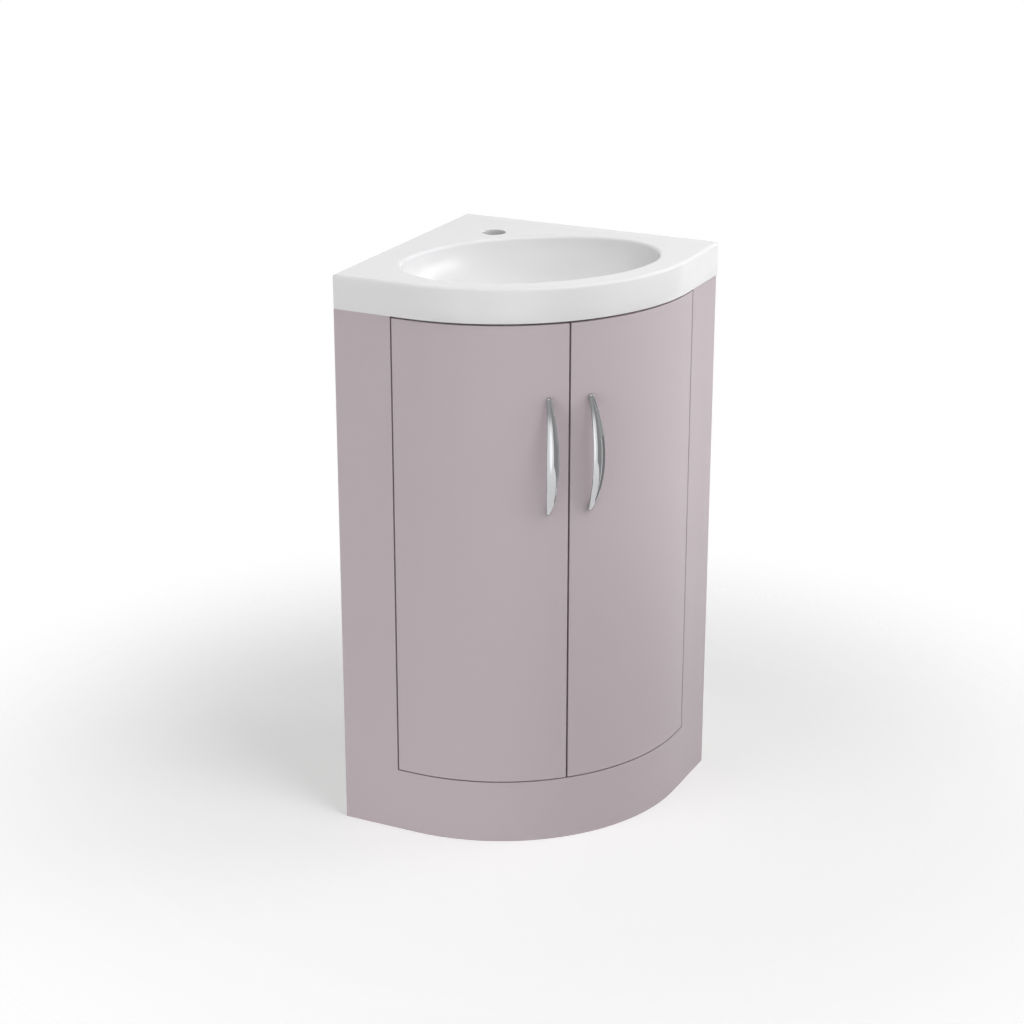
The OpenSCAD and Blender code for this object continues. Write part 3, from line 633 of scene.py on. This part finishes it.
def outline(inset):
    """The plan of the basin, that far in from its edge, from the wall corner and down the left wall
    side."""
    edge = HALF_LEG - inset
    turn = max(CORNER_RADIUS - inset, LEAST_CORNER)
    arc_radius = BASIN_RADIUS - inset
    near = edge - turn
    points = arc_points((-near, near), turn, 90, 180, CORNER_STEPS)
    points += line_points((-edge, near), (-edge, -near), WALL_STEPS)
    points += arc_points((-near, -near), turn, 180, 270, CORNER_STEPS)
    points += line_points((-near, -edge), (ARC_MIDDLE[0], -edge), END_STEPS)
    points += arc_points(ARC_MIDDLE, arc_radius, -90, 0, FRONT_STEPS)
    points += line_points((edge, ARC_MIDDLE[1]), (edge, near), END_STEPS)
    points += arc_points((near, near), turn, 0, 90, CORNER_STEPS)
    points += line_points((near, edge), (-near, edge), WALL_STEPS)
    return points


# %% Rings of the bowl, in the same directions as the outline's points
directions = []
for x, y in outline(TOP_EDGE_RADIUS):
    away = Vector((x - BOWL_MIDDLE[0], y - BOWL_MIDDLE[1]))
    directions.append(away.normalized())
ALONG = Vector((1, 1)).normalized()     # the bowl's long way, across the corner


def oval_radius(direction, half_long, half_short):
    """Distance from the bowl's middle to an oval, in one direction."""
    along = direction.dot(ALONG)
    across_squared = 1 - along**2
    return 1 / math.sqrt((along / half_long) ** 2 + across_squared / half_short**2)


def ring(radius_of, z_of):
    """A ring round the bowl's middle, whose radius and height are functions of the direction."""
    points = []
    for direction in directions:
        radius = radius_of(direction)
        x = BOWL_MIDDLE[0] + direction.x * radius
        y = BOWL_MIDDLE[1] + direction.y * radius
        points.append((x, y, z_of(direction, radius)))
    return points


def round_ring(radius, z):
    """A circle round the bowl's middle."""
    return ring(lambda direction: radius, lambda direction, r: z)


def shell_ring(radius_of, grow):
    """A ring that lies on the bowl's inner face, or, with grow, on its outer one."""
    def height(direction, radius):
        share = radius / oval_radius(direction, BOWL_A + grow, BOWL_B + grow)
        return BASIN_TOP - (BOWL_DEPTH + grow) * math.sqrt(max(0, 1 - share**2))
    return ring(radius_of, height)


def oval_ring(grow, out, z):
    """A ring at one height, out from the oval of the bowl's inner face, or, with grow, of its outer
    one."""
    return ring(
        lambda direction: oval_radius(direction, BOWL_A + grow, BOWL_B + grow) + out,
        lambda direction, radius: z)


def plan_ring(inset, z):
    """The outline as a ring at one height."""
    return [(x, y, z) for x, y in outline(inset)]


def between(first, second, share):
    """A ring between two others, at the height of the second."""
    return [
        (a[0] + (b[0] - a[0]) * share, a[1] + (b[1] - a[1]) * share, b[2])
        for a, b in zip(first, second)]


# %% [markdown]
# The row of rings is laid in five short cells. The first climbs through the waste hole and over the
# seat that a waste fitting would rest on.

# %% Through the waste hole and over its seat
SOFT, SOFTER = 0.3, 1   # the two steps of a small soft edge
rings = []
for radius, z in (
    (WASTE_RADIUS, WASTE_UNDER_Z + SOFTER),
    (WASTE_RADIUS, WASTE_SEAT_Z - SOFTER),
    (WASTE_RADIUS + SOFT, WASTE_SEAT_Z - SOFT),
    (WASTE_RADIUS + SOFTER, WASTE_SEAT_Z),
    (WASTE_SEAT_RADIUS - SOFTER, WASTE_SEAT_Z),
    (WASTE_SEAT_RADIUS - SOFT, WASTE_SEAT_Z + SOFT),
    (WASTE_SEAT_RADIUS, WASTE_SEAT_Z + SOFTER),
):
    rings.append(round_ring(radius, z))
rings.append(shell_ring(lambda direction: BOWL_START, 0))
print("waste hole and seat:", len(rings), "rings")

# %% [markdown]
# The bowl's rings grow from the seat's circle to the oval of the lip, with finer steps near the
# lip, where the wall is steepest. The lip itself is a quarter turn.

# %% Up the bowl and round its lip
BOWL_STEPS, TURN_STEPS = 34, 6
lip_share = math.sqrt(1 - (LIP_RADIUS / BOWL_DEPTH) ** 2)
for step in range(1, BOWL_STEPS + 1):
    climb = math.sin(step / BOWL_STEPS * math.pi / 2)
    rings.append(shell_ring(
        lambda direction: BOWL_START
        + (oval_radius(direction, BOWL_A, BOWL_B) * lip_share - BOWL_START) * climb, 0))
for step in range(1, TURN_STEPS + 1):
    turn = step / TURN_STEPS * math.pi / 2
    outward = LIP_RADIUS * (1 - math.cos(turn))
    height = BASIN_TOP - LIP_RADIUS * (1 - math.sin(turn))
    rings.append(ring(
        lambda direction: oval_radius(direction, BOWL_A, BOWL_B) * lip_share + outward,
        lambda direction, radius: height))
print("up to the lip:", len(rings), "rings")

# %% [markdown]
# Across the flat top the oval becomes the plan of the unit. Then the rings turn over the edge and
# run down the upright side to its foot, which rests on the cabinet.

# %% Across the top and down the side
TOP_STEPS = 9
lip_ring = rings[-1]
edge_ring = plan_ring(TOP_EDGE_RADIUS, BASIN_TOP)
for step in range(1, TOP_STEPS):
    rings.append(between(lip_ring, edge_ring, step / TOP_STEPS))
rings.append(edge_ring)
for step in range(1, TURN_STEPS + 1):
    turn = step / TURN_STEPS * math.pi / 2
    rings.append(plan_ring(
        TOP_EDGE_RADIUS * (1 - math.sin(turn)), BASIN_TOP - TOP_EDGE_RADIUS * (1 - math.cos(turn))))
for z in (BASIN_TOP - 20, CABINET_TOP + 18, CABINET_TOP + FOOT_RADIUS):
    rings.append(plan_ring(0, z))
FOOT_SOFT = FOOT_RADIUS * 0.3
rings.append(plan_ring(FOOT_SOFT, CABINET_TOP + FOOT_SOFT))
rings.append(plan_ring(FOOT_RADIUS, CABINET_TOP))
rings.append(plan_ring(BASIN_WALL - FOOT_RADIUS, CABINET_TOP))
rings.append(plan_ring(BASIN_WALL, CABINET_TOP + FOOT_RADIUS))
print("down to the foot:", len(rings), "rings")

# %% [markdown]
# Underneath, a casting is hollow, with walls of one thickness. So the rings climb inside the edge,
# cross back under the top and follow the bowl's outer face down to a boss round the waste hole.

# %% Under the top
INNER_TURN, INNER_SOFT = 4, 1.2     # of the hollow corner under the top
OVAL_TURN = (5, 1.2, 2.5)           # out, then out and down, where the underside meets the bowl
deck_under = BASIN_TOP - BASIN_WALL
rings.append(plan_ring(BASIN_WALL, deck_under - INNER_TURN))
rings.append(plan_ring(BASIN_WALL + INNER_SOFT, deck_under - INNER_SOFT))
inner_edge = plan_ring(BASIN_WALL + INNER_TURN, deck_under)
under_oval = oval_ring(BASIN_WALL, OVAL_TURN[0], deck_under)
for share in (0, 0.35, 0.7, 1):
    rings.append(between(inner_edge, under_oval, share))
print("under the top:", len(rings), "rings")

# %% Down the bowl's outer face, and the whole casting
UNDER_STEPS = 20
UNDER_DROP = 18         # below the top of its oval, where the bowl's outer face ends
outer_share = math.sqrt(1 - (UNDER_DROP / (BOWL_DEPTH + BASIN_WALL)) ** 2)
rings.append(oval_ring(BASIN_WALL, OVAL_TURN[1], deck_under - OVAL_TURN[2]))
for step in range(UNDER_STEPS):
    climb = math.cos(step / UNDER_STEPS * math.pi / 2)
    rings.append(shell_ring(
        lambda direction: WASTE_BOSS_RADIUS + 1
        + (oval_radius(direction, OUTER_A, OUTER_B) * outer_share - WASTE_BOSS_RADIUS - 1) * climb,
        BASIN_WALL))
rings.append(shell_ring(lambda direction: WASTE_BOSS_RADIUS, BASIN_WALL))
rings.append(round_ring(WASTE_BOSS_RADIUS, WASTE_UNDER_Z + SOFTER))
rings.append(round_ring(WASTE_BOSS_RADIUS - SOFTER, WASTE_UNDER_Z))
rings.append(round_ring(WASTE_RADIUS + SOFTER, WASTE_UNDER_Z))
basin_points, basin_faces = loft(rings, close_rows=True)
basin = new_piece("basin_casting", basin_points, basin_faces, "cabinet", "basin_glaze", ["basin"])
print("basin:", len(rings), "rings,", len(basin_faces), "faces")

# %% [markdown]
# The tap hole goes through the flat top behind the bowl. It could be woven into the rings, but a
# Boolean cut is simpler and leaves the quads elsewhere alone. The cutter is turned, and it flares
# at the top, so that the hole gets the soft edge of the glaze.

# %% Tap hole
TAP_FLARE = 1.2
CUT_PAST = 3            # that the cutter reaches past the casting, above and below
HOLE_POINTS = 64
tap_from_walls = TAP_FROM_CORNER / math.sqrt(2)
tap_x, tap_y = -HALF_LEG + tap_from_walls, HALF_LEG - tap_from_walls
tap_profile = [(TAP_RADIUS, deck_under - CUT_PAST), (TAP_RADIUS, BASIN_TOP - TAP_FLARE)]
for step in range(1, TURN_STEPS + 1):
    turn = step / TURN_STEPS * math.pi / 2
    tap_profile.append((
        TAP_RADIUS + TAP_FLARE * (1 - math.cos(turn)),
        BASIN_TOP - TAP_FLARE * (1 - math.sin(turn))))
tap_profile.append((TAP_RADIUS + TAP_FLARE + 0.4, BASIN_TOP + CUT_PAST))


def circle(count):
    """Directions round a circle, as (x, y) pairs."""
    angles = [2 * math.pi * i / count for i in range(count)]
    return [(math.cos(angle), math.sin(angle)) for angle in angles]


def turned(profile, middle, count):
    """Rings of a turned form: (radius, height) pairs round an upright axis."""
    return [
        [(middle[0] + radius * x, middle[1] + radius * y, z) for x, y in circle(count)]
        for radius, z in profile]


def capped(rings):
    """A loft whose first and last rings are closed."""
    points, faces = loft(rings)
    count, last = len(rings[0]), (len(rings) - 1) * len(rings[0])
    faces.append(tuple(range(count))[::-1])
    faces.append(tuple(range(last, last + count)))
    return points, faces


def cut_away(piece, points, faces):
    """Cuts a closed form out of a piece, and leaves the result in the piece's own mesh."""
    cutter = bpy.data.objects.new("cutter", solid_mesh("cutter", points, faces))
    bpy.context.scene.collection.objects.link(cutter)
    cut = piece.modifiers.new("cut", "BOOLEAN")
    cut.operation = "DIFFERENCE"
    cut.solver = "EXACT"
    cut.object = cutter
    bpy.context.view_layer.update()
    depsgraph = bpy.context.evaluated_depsgraph_get()
    result = bpy.data.meshes.new_from_object(piece.evaluated_get(depsgraph))
    piece.modifiers.remove(cut)
    piece.data = result
    bpy.data.objects.remove(cutter)


cut_away(basin, *capped(turned(tap_profile, (tap_x, tap_y), HOLE_POINTS)))
basin.data.set_sharp_from_angle(angle=math.radians(SMOOTH_BELOW))
print("tap hole at", round(tap_x, 1), round(tap_y, 1), "faces now", len(basin.data.polygons))

# %% [markdown]
# ## The handles
# Each handle is a chrome strap, bent into a low bow. Seen from the front it is a slim lens, widest
# in the middle, and across its width it is crowned, so one side mirrors the bright lamp and the
# other the room. A bent curve with a bevel profile could make it, but the strap's width and
# thickness both change along the bow, so it is lofted from cross-sections instead.

# %% Handle sizes
FRONT_RADIUS = 296.5
cabinet_straight = CABINET_LEG - FRONT_RADIUS
CABINET_MIDDLE = (-HALF_LEG + cabinet_straight, HALF_LEG - cabinet_straight)
GAP_ANGLE = -45             # degrees round the unit where the doors meet
HANDLE_LENGTH, HANDLE_CENTRES = 175, 160
HANDLE_RISE, HANDLE_THICKNESS, HANDLE_TIP = 32, 4.5, 4
HANDLE_WIDTH, HANDLE_END_WIDTH = 18.5, 6.5
HANDLE_FROM_GAP = 31.5      # along the door, from the middle of the gap between the doors
handle_low, handle_high = (in_mm(corner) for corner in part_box("left_handle"))
HANDLE_Z = (handle_low[2] + handle_high[2]) / 2
SEAT_GAP = 0.15             # between the door and the strap
handle_turn = math.degrees(HANDLE_FROM_GAP / FRONT_RADIUS)


def arc_radius_of(half_chord, rise):
    """Radius of an arc with that half chord and rise."""
    return (half_chord**2 + rise**2) / (2 * rise)


def drop(distance, radius):
    """How far an arc falls below its top, that far along."""
    return radius - math.sqrt(max(0, radius**2 - distance**2))


# %% One handle
HALF_LENGTH = HANDLE_LENGTH / 2
OUTER_ARC = arc_radius_of(HALF_LENGTH, HANDLE_RISE - HANDLE_TIP)
INNER_ARC = arc_radius_of(HANDLE_CENTRES / 2, HANDLE_RISE - HANDLE_THICKNESS)
LENS_ARC = arc_radius_of(HALF_LENGTH, (HANDLE_WIDTH - HANDLE_END_WIDTH) / 2)
END_ROUND = 2.2             # length of the rounded tip
TIP_WIDE, TIP_THICK = 0.35, 0.3     # width and thickness at the very tip, as shares
SECTIONS = 96
CROWN_TURN = 24             # degrees that the front turns from its middle to each long edge
CROWN_STEPS, EDGE_STEPS, BACK_STEPS = 18, 6, 10
EDGE_MOST = 0.9             # largest radius of the strap's long edges
EDGE_FULLNESS = 0.8         # below 1, the edges are a little fuller than round
BACK_CURL = 0.6             # how far the back rises into its edges, as a share of their radius


def edge_round(start, end, across, bulge):
    """The round of one long edge, from one distance out from the door to another."""
    points = []
    for i in range(1, EDGE_STEPS + 1):
        turn = i / (EDGE_STEPS + 1) * math.pi
        out = start + (end - start) * (1 - math.cos(turn)) / 2
        points.append((out, across + bulge * math.sin(turn) ** EDGE_FULLNESS))
    return points


def strap_section(along):
    """The strap's cross-section at a place along the bow: (out from the door, across) pairs."""
    front = HANDLE_RISE - drop(along, OUTER_ARC)
    back = max(0, HANDLE_RISE - HANDLE_THICKNESS - drop(along, INNER_ARC))
    half_width = HANDLE_WIDTH / 2 - drop(along, LENS_ARC)
    to_tip = (HALF_LENGTH - abs(along)) / END_ROUND
    if to_tip < 1:
        shrink = math.sqrt(max(0.0, 1 - (1 - to_tip) ** 2))
        half_width *= TIP_WIDE + (1 - TIP_WIDE) * shrink
        front = back + (front - back) * (TIP_THICK + (1 - TIP_THICK) * shrink)
    thick = front - back
    sag = min(0.5 * thick, half_width * math.tan(math.radians(CROWN_TURN) / 2))
    edge = min(EDGE_MOST, 0.4 * (thick - sag), 0.3 * half_width)
    flat = half_width - edge
    upper, lower = front - sag, back + edge
    section = []
    for i in range(CROWN_STEPS + 1):
        across = -flat + 2 * flat * i / CROWN_STEPS
        section.append((front - sag * (across / flat) ** 2, across))
    section += edge_round(upper, lower, flat, edge)
    for i in range(BACK_STEPS + 1):
        across = flat - 2 * flat * i / BACK_STEPS
        section.append((back + edge * BACK_CURL * (across / flat) ** 4, across))
    section += edge_round(lower, upper, -flat, -edge)
    return section


def handle_piece(name, body, node_name, angle):
    """A handle on the door's curve, at an angle round the middle of the cabinet's front."""
    out = Vector((math.cos(math.radians(angle)), math.sin(math.radians(angle))))
    side = Vector((-out.y, out.x))
    foot = Vector(CABINET_MIDDLE) + out * (FRONT_RADIUS + SEAT_GAP)
    rings = []
    for i in range(SECTIONS + 1):
        along = -HALF_LENGTH * math.cos(math.pi * i / SECTIONS)
        rings.append([
            (foot.x + out.x * o + side.x * a, foot.y + out.y * o + side.y * a, HANDLE_Z + along)
            for o, a in strap_section(along)])
    points, faces = capped(rings)
    return new_piece(name, points, faces, body, "handle_chrome", [node_name])


left_bow = handle_piece("left_bow_handle", "left_door", "left_handle", GAP_ANGLE - handle_turn)
right_bow = handle_piece("right_bow_handle", "right_door", "right_handle", GAP_ANGLE + handle_turn)
print("handles:", len(left_bow.data.polygons), "and", len(right_bow.data.polygons), "faces")

# %% [markdown]
# ## The screws
# The hinges, handles and panels are held by domed and flat topped screws with a cross recess. In
# the joiner's model they are plain turned pins. Each one is measured in the frame, its axis, head
# and shank, and a real screw is built in its place: a threaded shank, and a domed head whose top is
# pushed in along the arms of a cross. A Boolean could cut the recess, but moving the points of a
# fine round grid is quicker and gives the sloping walls that a pressed recess has.


# %% Measure the pins of a node
def loose_parts(mesh):
    """The separate closed parts of a mesh, as lists of BMesh points, and their BMesh."""
    work = bmesh.new()
    work.from_mesh(mesh)
    bmesh.ops.remove_doubles(work, verts=work.verts, dist=mm(JOIN_WITHIN))
    seen, parts = set(), []
    for start in work.verts:
        if start in seen:
            continue
        seen.add(start)
        part, waiting = [], [start]
        while waiting:
            point = waiting.pop()
            part.append(point)
            for edge in point.link_edges:
                other = edge.other_vert(point)
                if other not in seen:
                    seen.add(other)
                    waiting.append(other)
        parts.append(part)
    return parts, work


SAME_HEIGHT = 20        # micrometres within which points of a pin are level


def pin_of(part):
    """A headed pin: its tip, its direction towards the head, its length, the head's height and
    radius, and the shank's radius, all in millimetres."""
    middle = sum((point.co for point in part), Vector()) / len(part)
    normals = [face.normal for point in part for face in point.link_faces]
    fewest, axis = None, None
    for normal in dict.fromkeys(tuple(round(share, 2) for share in normal) for normal in normals):
        direction = Vector(normal).normalized()
        levels = {round(1e6 * (point.co - middle).dot(direction)) // SAME_HEIGHT for point in part}
        if fewest is None or len(levels) < fewest:
            fewest, axis = len(levels), direction
    sizes = []
    for point in part:
        offset = point.co - middle
        height = offset.dot(axis)
        sizes.append((1000 * height, 1000 * (offset - axis * height).length))
    head_radius = max(radius for height, radius in sizes)
    if sum(height for height, radius in sizes if radius > 0.9 * head_radius) < 0:
        axis = -axis
        sizes = [(-height, radius) for height, radius in sizes]
    heights = [height for height, radius in sizes]
    head_heights = [height for height, radius in sizes if radius > 0.9 * head_radius]
    tip = middle * 1000 + axis * min(heights)
    length = max(heights) - min(heights)
    head_height = max(head_heights) - min(head_heights)
    shank_radius = min(radius for height, radius in sizes)
    return tip, axis, length, head_height, head_radius, shank_radius


# %% A screw
HEAD_POINTS, SHANK_POINTS = 48, 16
LOW_HEAD = 3                        # heads lower than this many millimetres are domed
DOME_SHARE = 0.35                   # height of the dome, as a share of the head's
CHAMFER = 0.25                      # round the top of the head
HEAD_RINGS = (1.0, 0.96, 0.88, 0.76, 0.66, 0.58, 0.5, 0.42, 0.34, 0.26, 0.19, 0.13, 0.07)
RECESS_ARM, RECESS_WIDTH = 0.55, 0.13       # length and half width of the cross, in head radii
RECESS_END_SLOPE, RECESS_SIDE_SLOPE = 0.1, 0.06     # of its sloping walls, in head radii
RECESS_SHARE, RECESS_HEAD = 0.55, 2.6       # depth as a share of the head, up to that high a head
THREAD_PITCH, THREAD_SHARE = 1.5, 0.2       # rise per turn, and depth as a share of the shank
RINGS_PER_TURN = 4
TIP_BLUNT, TIP_LENGTH = 0.15, 1.6   # radius at the tip and length of the point, in shank radii
PLAIN_NECK = 2.5                    # length without thread under the head
INTO_HEAD = 0.3                     # that the shank reaches into the head


def soft_step(value):
    """0 to 1, with soft ends."""
    value = max(0.0, min(1.0, value))
    return value * value * (3 - 2 * value)


def screw_head(radius, height, top):
    """Rings of a head with a cross recess, whose highest point is at that height."""
    dome = DOME_SHARE * height if height < LOW_HEAD else 0.0
    foot, shoulder = top - height, top - dome
    rings = turned([
        (0.55 * radius, foot), (radius - 0.1, foot), (radius, foot + 0.1),
        (radius, shoulder - CHAMFER), (radius - CHAMFER * 0.4, shoulder - CHAMFER * 0.4),
    ], (0, 0), HEAD_POINTS)
    depth = RECESS_SHARE * min(height, RECESS_HEAD)
    for share in HEAD_RINGS:
        row = []
        for cosine, sine in circle(HEAD_POINTS):
            x, y = (radius - CHAMFER) * share * cosine, (radius - CHAMFER) * share * sine
            narrow, long = sorted((abs(x) / radius, abs(y) / radius))
            inside = soft_step(1 - (narrow - RECESS_WIDTH) / RECESS_SIDE_SLOPE)
            inside *= soft_step(1 - (long - RECESS_ARM) / RECESS_END_SLOPE)
            row.append((x, y, top - dome * share**2 - depth * inside))
        rings.append(row)
    return rings


def screw_shank(radius, low, high):
    """Rings of a threaded shank with a pointed tip, along the screw's axis."""
    rings = []
    steps = max(6, int((high - low) / THREAD_PITCH * RINGS_PER_TURN))
    for step in range(steps + 1):
        z = low + (high - low) * step / steps
        taper = min(1.0, TIP_BLUNT + (z - low) / (TIP_LENGTH * radius))
        thread = THREAD_SHARE * (1 - soft_step(z - high + PLAIN_NECK))
        row = []
        for i, (x, y) in enumerate(circle(SHANK_POINTS)):
            turn = (z / THREAD_PITCH - i / SHANK_POINTS) % 1.0
            r = radius * taper * (1 - thread * abs(2 * turn - 1))
            row.append((r * x, r * y, z))
        rings.append(row)
    return rings


# %% Screws in the place of pins
def stand_along(rings, foot, axis):
    """Rings made round an upright axis, moved to a foot and turned to stand along another axis."""
    across = Vector((0, 0, 1)) if abs(axis.z) < 0.9 else Vector((1, 0, 0))
    side = axis.cross(across).normalized()
    up = axis.cross(side)
    return [[tuple(foot + side * x + up * y + axis * z) for x, y, z in row] for row in rings]


def joined(shells):
    """The points and faces of several closed shells as those of one mesh."""
    points, faces = [], []
    for shell_points, shell_faces in shells:
        start = len(points)
        points += shell_points
        faces += [tuple(start + i for i in face) for face in shell_faces]
    return points, faces


def screws_for(name, node_name, body):
    """A detailed screw for each plain pin of a node."""
    parts, work = loose_parts(nodes[node_name].data)
    shells = []
    for part in parts:
        tip, axis, length, head_height, head_radius, shank_radius = pin_of(part)
        head = screw_head(head_radius, head_height, length)
        shank = screw_shank(shank_radius, 0, length - head_height + INTO_HEAD)
        shells += [capped(stand_along(rings, tip, axis)) for rings in (head, shank)]
    work.free()
    points, faces = joined(shells)
    return new_piece(name, points, faces, body, "screw_zinc", [node_name], smooth_below=32)


for node_name, body in (
    ("left_cup_screws", "left_door"), ("right_cup_screws", "right_door"),
    ("left_handle_screws", "left_door"), ("right_handle_screws", "right_door"),
    ("plate_screws", "cabinet"), ("arm_screws", "cabinet"), ("panel_screws", "cabinet"),
):
    made_screws = screws_for(node_name.replace("screws", "cross_head_screws"), node_name, body)
    print(made_screws.name, len(made_screws.data.polygons), "faces")

# %% [markdown]
# ## The door pads
# Four clear pads on the top rail stop the doors with a soft touch. In the joiner's model they are
# plain discs. A real one is a drop of plastic that has set with a domed face, so each disc is
# measured in the same way as a screw, and a turned dome takes its place. The dome is no higher than
# the disc, so the closed doors still clear it.

# %% Domed pads
PAD_UPRIGHT = 0.3       # share of a pad's height below its dome
PAD_FOOT_EDGE = 0.3
PAD_STEPS, PAD_POINTS = 12, 40
DOME_END = 86           # degrees that the dome turns, short of its very top


def pad_profile(radius, height):
    """A pad as (radius, height) pairs, from its foot to the top of its dome."""
    profile = [(radius - PAD_FOOT_EDGE, 0), (radius, PAD_FOOT_EDGE)]
    for step in range(PAD_STEPS + 1):
        turn = math.radians(DOME_END * step / PAD_STEPS)
        rise = PAD_UPRIGHT + (1 - PAD_UPRIGHT) * math.sin(turn)
        profile.append((radius * math.cos(turn), height * rise))
    return profile


discs, work = loose_parts(nodes["door_buffers"].data)
pad_shells = []
for disc in discs:
    foot, axis, height, _, radius, _ = pin_of(disc)
    outward = Vector((foot.x - CABINET_MIDDLE[0], foot.y - CABINET_MIDDLE[1], 0))
    if axis.dot(outward) < 0:
        foot, axis = foot + axis * height, -axis
    pad = turned(pad_profile(radius, height), (0, 0), PAD_POINTS)
    pad_shells.append(capped(stand_along(pad, foot, axis)))
    print("pad of radius", round(radius, 2), "and height", round(height, 2))
work.free()
new_piece("domed_door_pads", *joined(pad_shells), "cabinet", "buffer_pad", ["door_buffers"],
          smooth_below=50)

# %% [markdown]
# ## Cards for the chrome
# Chrome has no colour of its own: it shows the studio. In the photograph each handle has a bright
# strip on its left that tapers up and down, a darker side on the right with a thin light line in
# it, and a light foot. The foot shows the floor. For the rest, a photo studio stands cards round
# such a piece. Here two grey cards stand on the right with a slit between them, one stands behind
# on the left, another hangs high in front, and a bright card with soft edges stands low near the
# camera. A low shield on the right keeps the bowl's spots out of the chrome. Only mirror-like
# surfaces see the cards: they light nothing else and throw no shadow.


# %% Grey cards
CARD_STEPS = 12         # flat strips in a bent card
OVER_FLOOR = 0.003      # metres between the floor and the cards that lie on it


def studio_card(name, points, faces, tone, fade=None):
    """A card seen only in reflections. Fade is (solid, clear, mask), as clear_share takes them."""
    mesh = bpy.data.meshes.new(name)
    mesh.from_pydata(points, [], faces)
    paint = bpy.data.materials.new(name)
    paint.use_nodes = True
    tree = paint.node_tree
    tree.nodes.clear()
    glow = tree.nodes.new("ShaderNodeEmission")
    glow.inputs["Color"].default_value = (tone, tone, tone, 1.0)
    shown = glow.outputs[0]
    if fade:
        see_through = tree.nodes.new("ShaderNodeBsdfTransparent")
        shown = mixed(tree, clear_share(tree, *fade), shown, see_through.outputs[0])
    out = tree.nodes.new("ShaderNodeOutputMaterial")
    tree.links.new(shown, out.inputs["Surface"])
    mesh.materials.append(paint)
    card = bpy.data.objects.new(name, mesh)
    bpy.context.scene.collection.objects.link(card)
    card.visible_camera = False
    card.visible_diffuse = False
    card.visible_shadow = False
    card.visible_transmission = False
    return card


def bent_card(name, angles, near, profile, tone, fade=None):
    """A card bent round the unit over a range of degrees, in metres. It starts on the floor, at a
    distance that runs from the first to the last of near, or hangs free where near is None, and
    goes on through profile, which is (distance, height) pairs."""
    points, faces = [], []
    for i in range(CARD_STEPS + 1):
        share = i / CARD_STEPS
        angle = math.radians(angles[0] + (angles[1] - angles[0]) * share)
        row = list(profile)
        if near:
            row.insert(0, (near[0] + (near[1] - near[0]) * share, OVER_FLOOR))
        points += [(away * math.cos(angle), away * math.sin(angle), z) for away, z in row]
    rows = len(row)
    for i in range(CARD_STEPS):
        for k in range(rows - 1):
            a, b = rows * i + k, rows * (i + 1) + k
            faces.append((a, a + 1, b + 1, b))
    studio_card(name, points, faces, tone, fade)


WALL_PROFILE = [(2.4, OVER_FLOOR), (2.4, 3.6), (2.0, 4.4)]
bent_card("front_card", (-36, 2), (1.7, 0.48), WALL_PROFILE, 0.34)
bent_card("side_card", (8, 38), (0.46, 0.46), WALL_PROFILE, 0.26)
bent_card("left_card", (-175, -92), (0.6, 0.6), WALL_PROFILE, 0.3)
bent_card("high_card", (-115, -36), None, [(2.4, 1.3), (2.4, 2.2), (1.7, 3.4)], 0.45,
          fade=(2.3, 1.4, (0, 0, 1)))
bent_card("low_shield", (-18, 42), None, [(0.62, 0.62), (0.62, 0.88)], 0.45)
print("grey cards hang", WALL_PROFILE[0][0], "m away")

# %% Bright card
BRIGHT_CARD_PLACE = (0.615, -0.998, 0.54)
BRIGHT_CARD_SIZE = (0.3, 0.64)      # half its width and height, in metres
BRIGHT_CARD_TONE = 1.5
bright_card = studio_card(
    "bright_card", [(-1, 0, -1), (1, 0, -1), (1, 0, 1), (-1, 0, 1)], [(0, 1, 2, 3)],
    BRIGHT_CARD_TONE, fade=(0.5, 1.0))
bright_card.location = BRIGHT_CARD_PLACE
bright_card.scale = (BRIGHT_CARD_SIZE[0], 1, BRIGHT_CARD_SIZE[1])
bright_card.rotation_euler = (0, 0, math.radians(CAMERA_TURN))
print("bright card at", BRIGHT_CARD_PLACE)
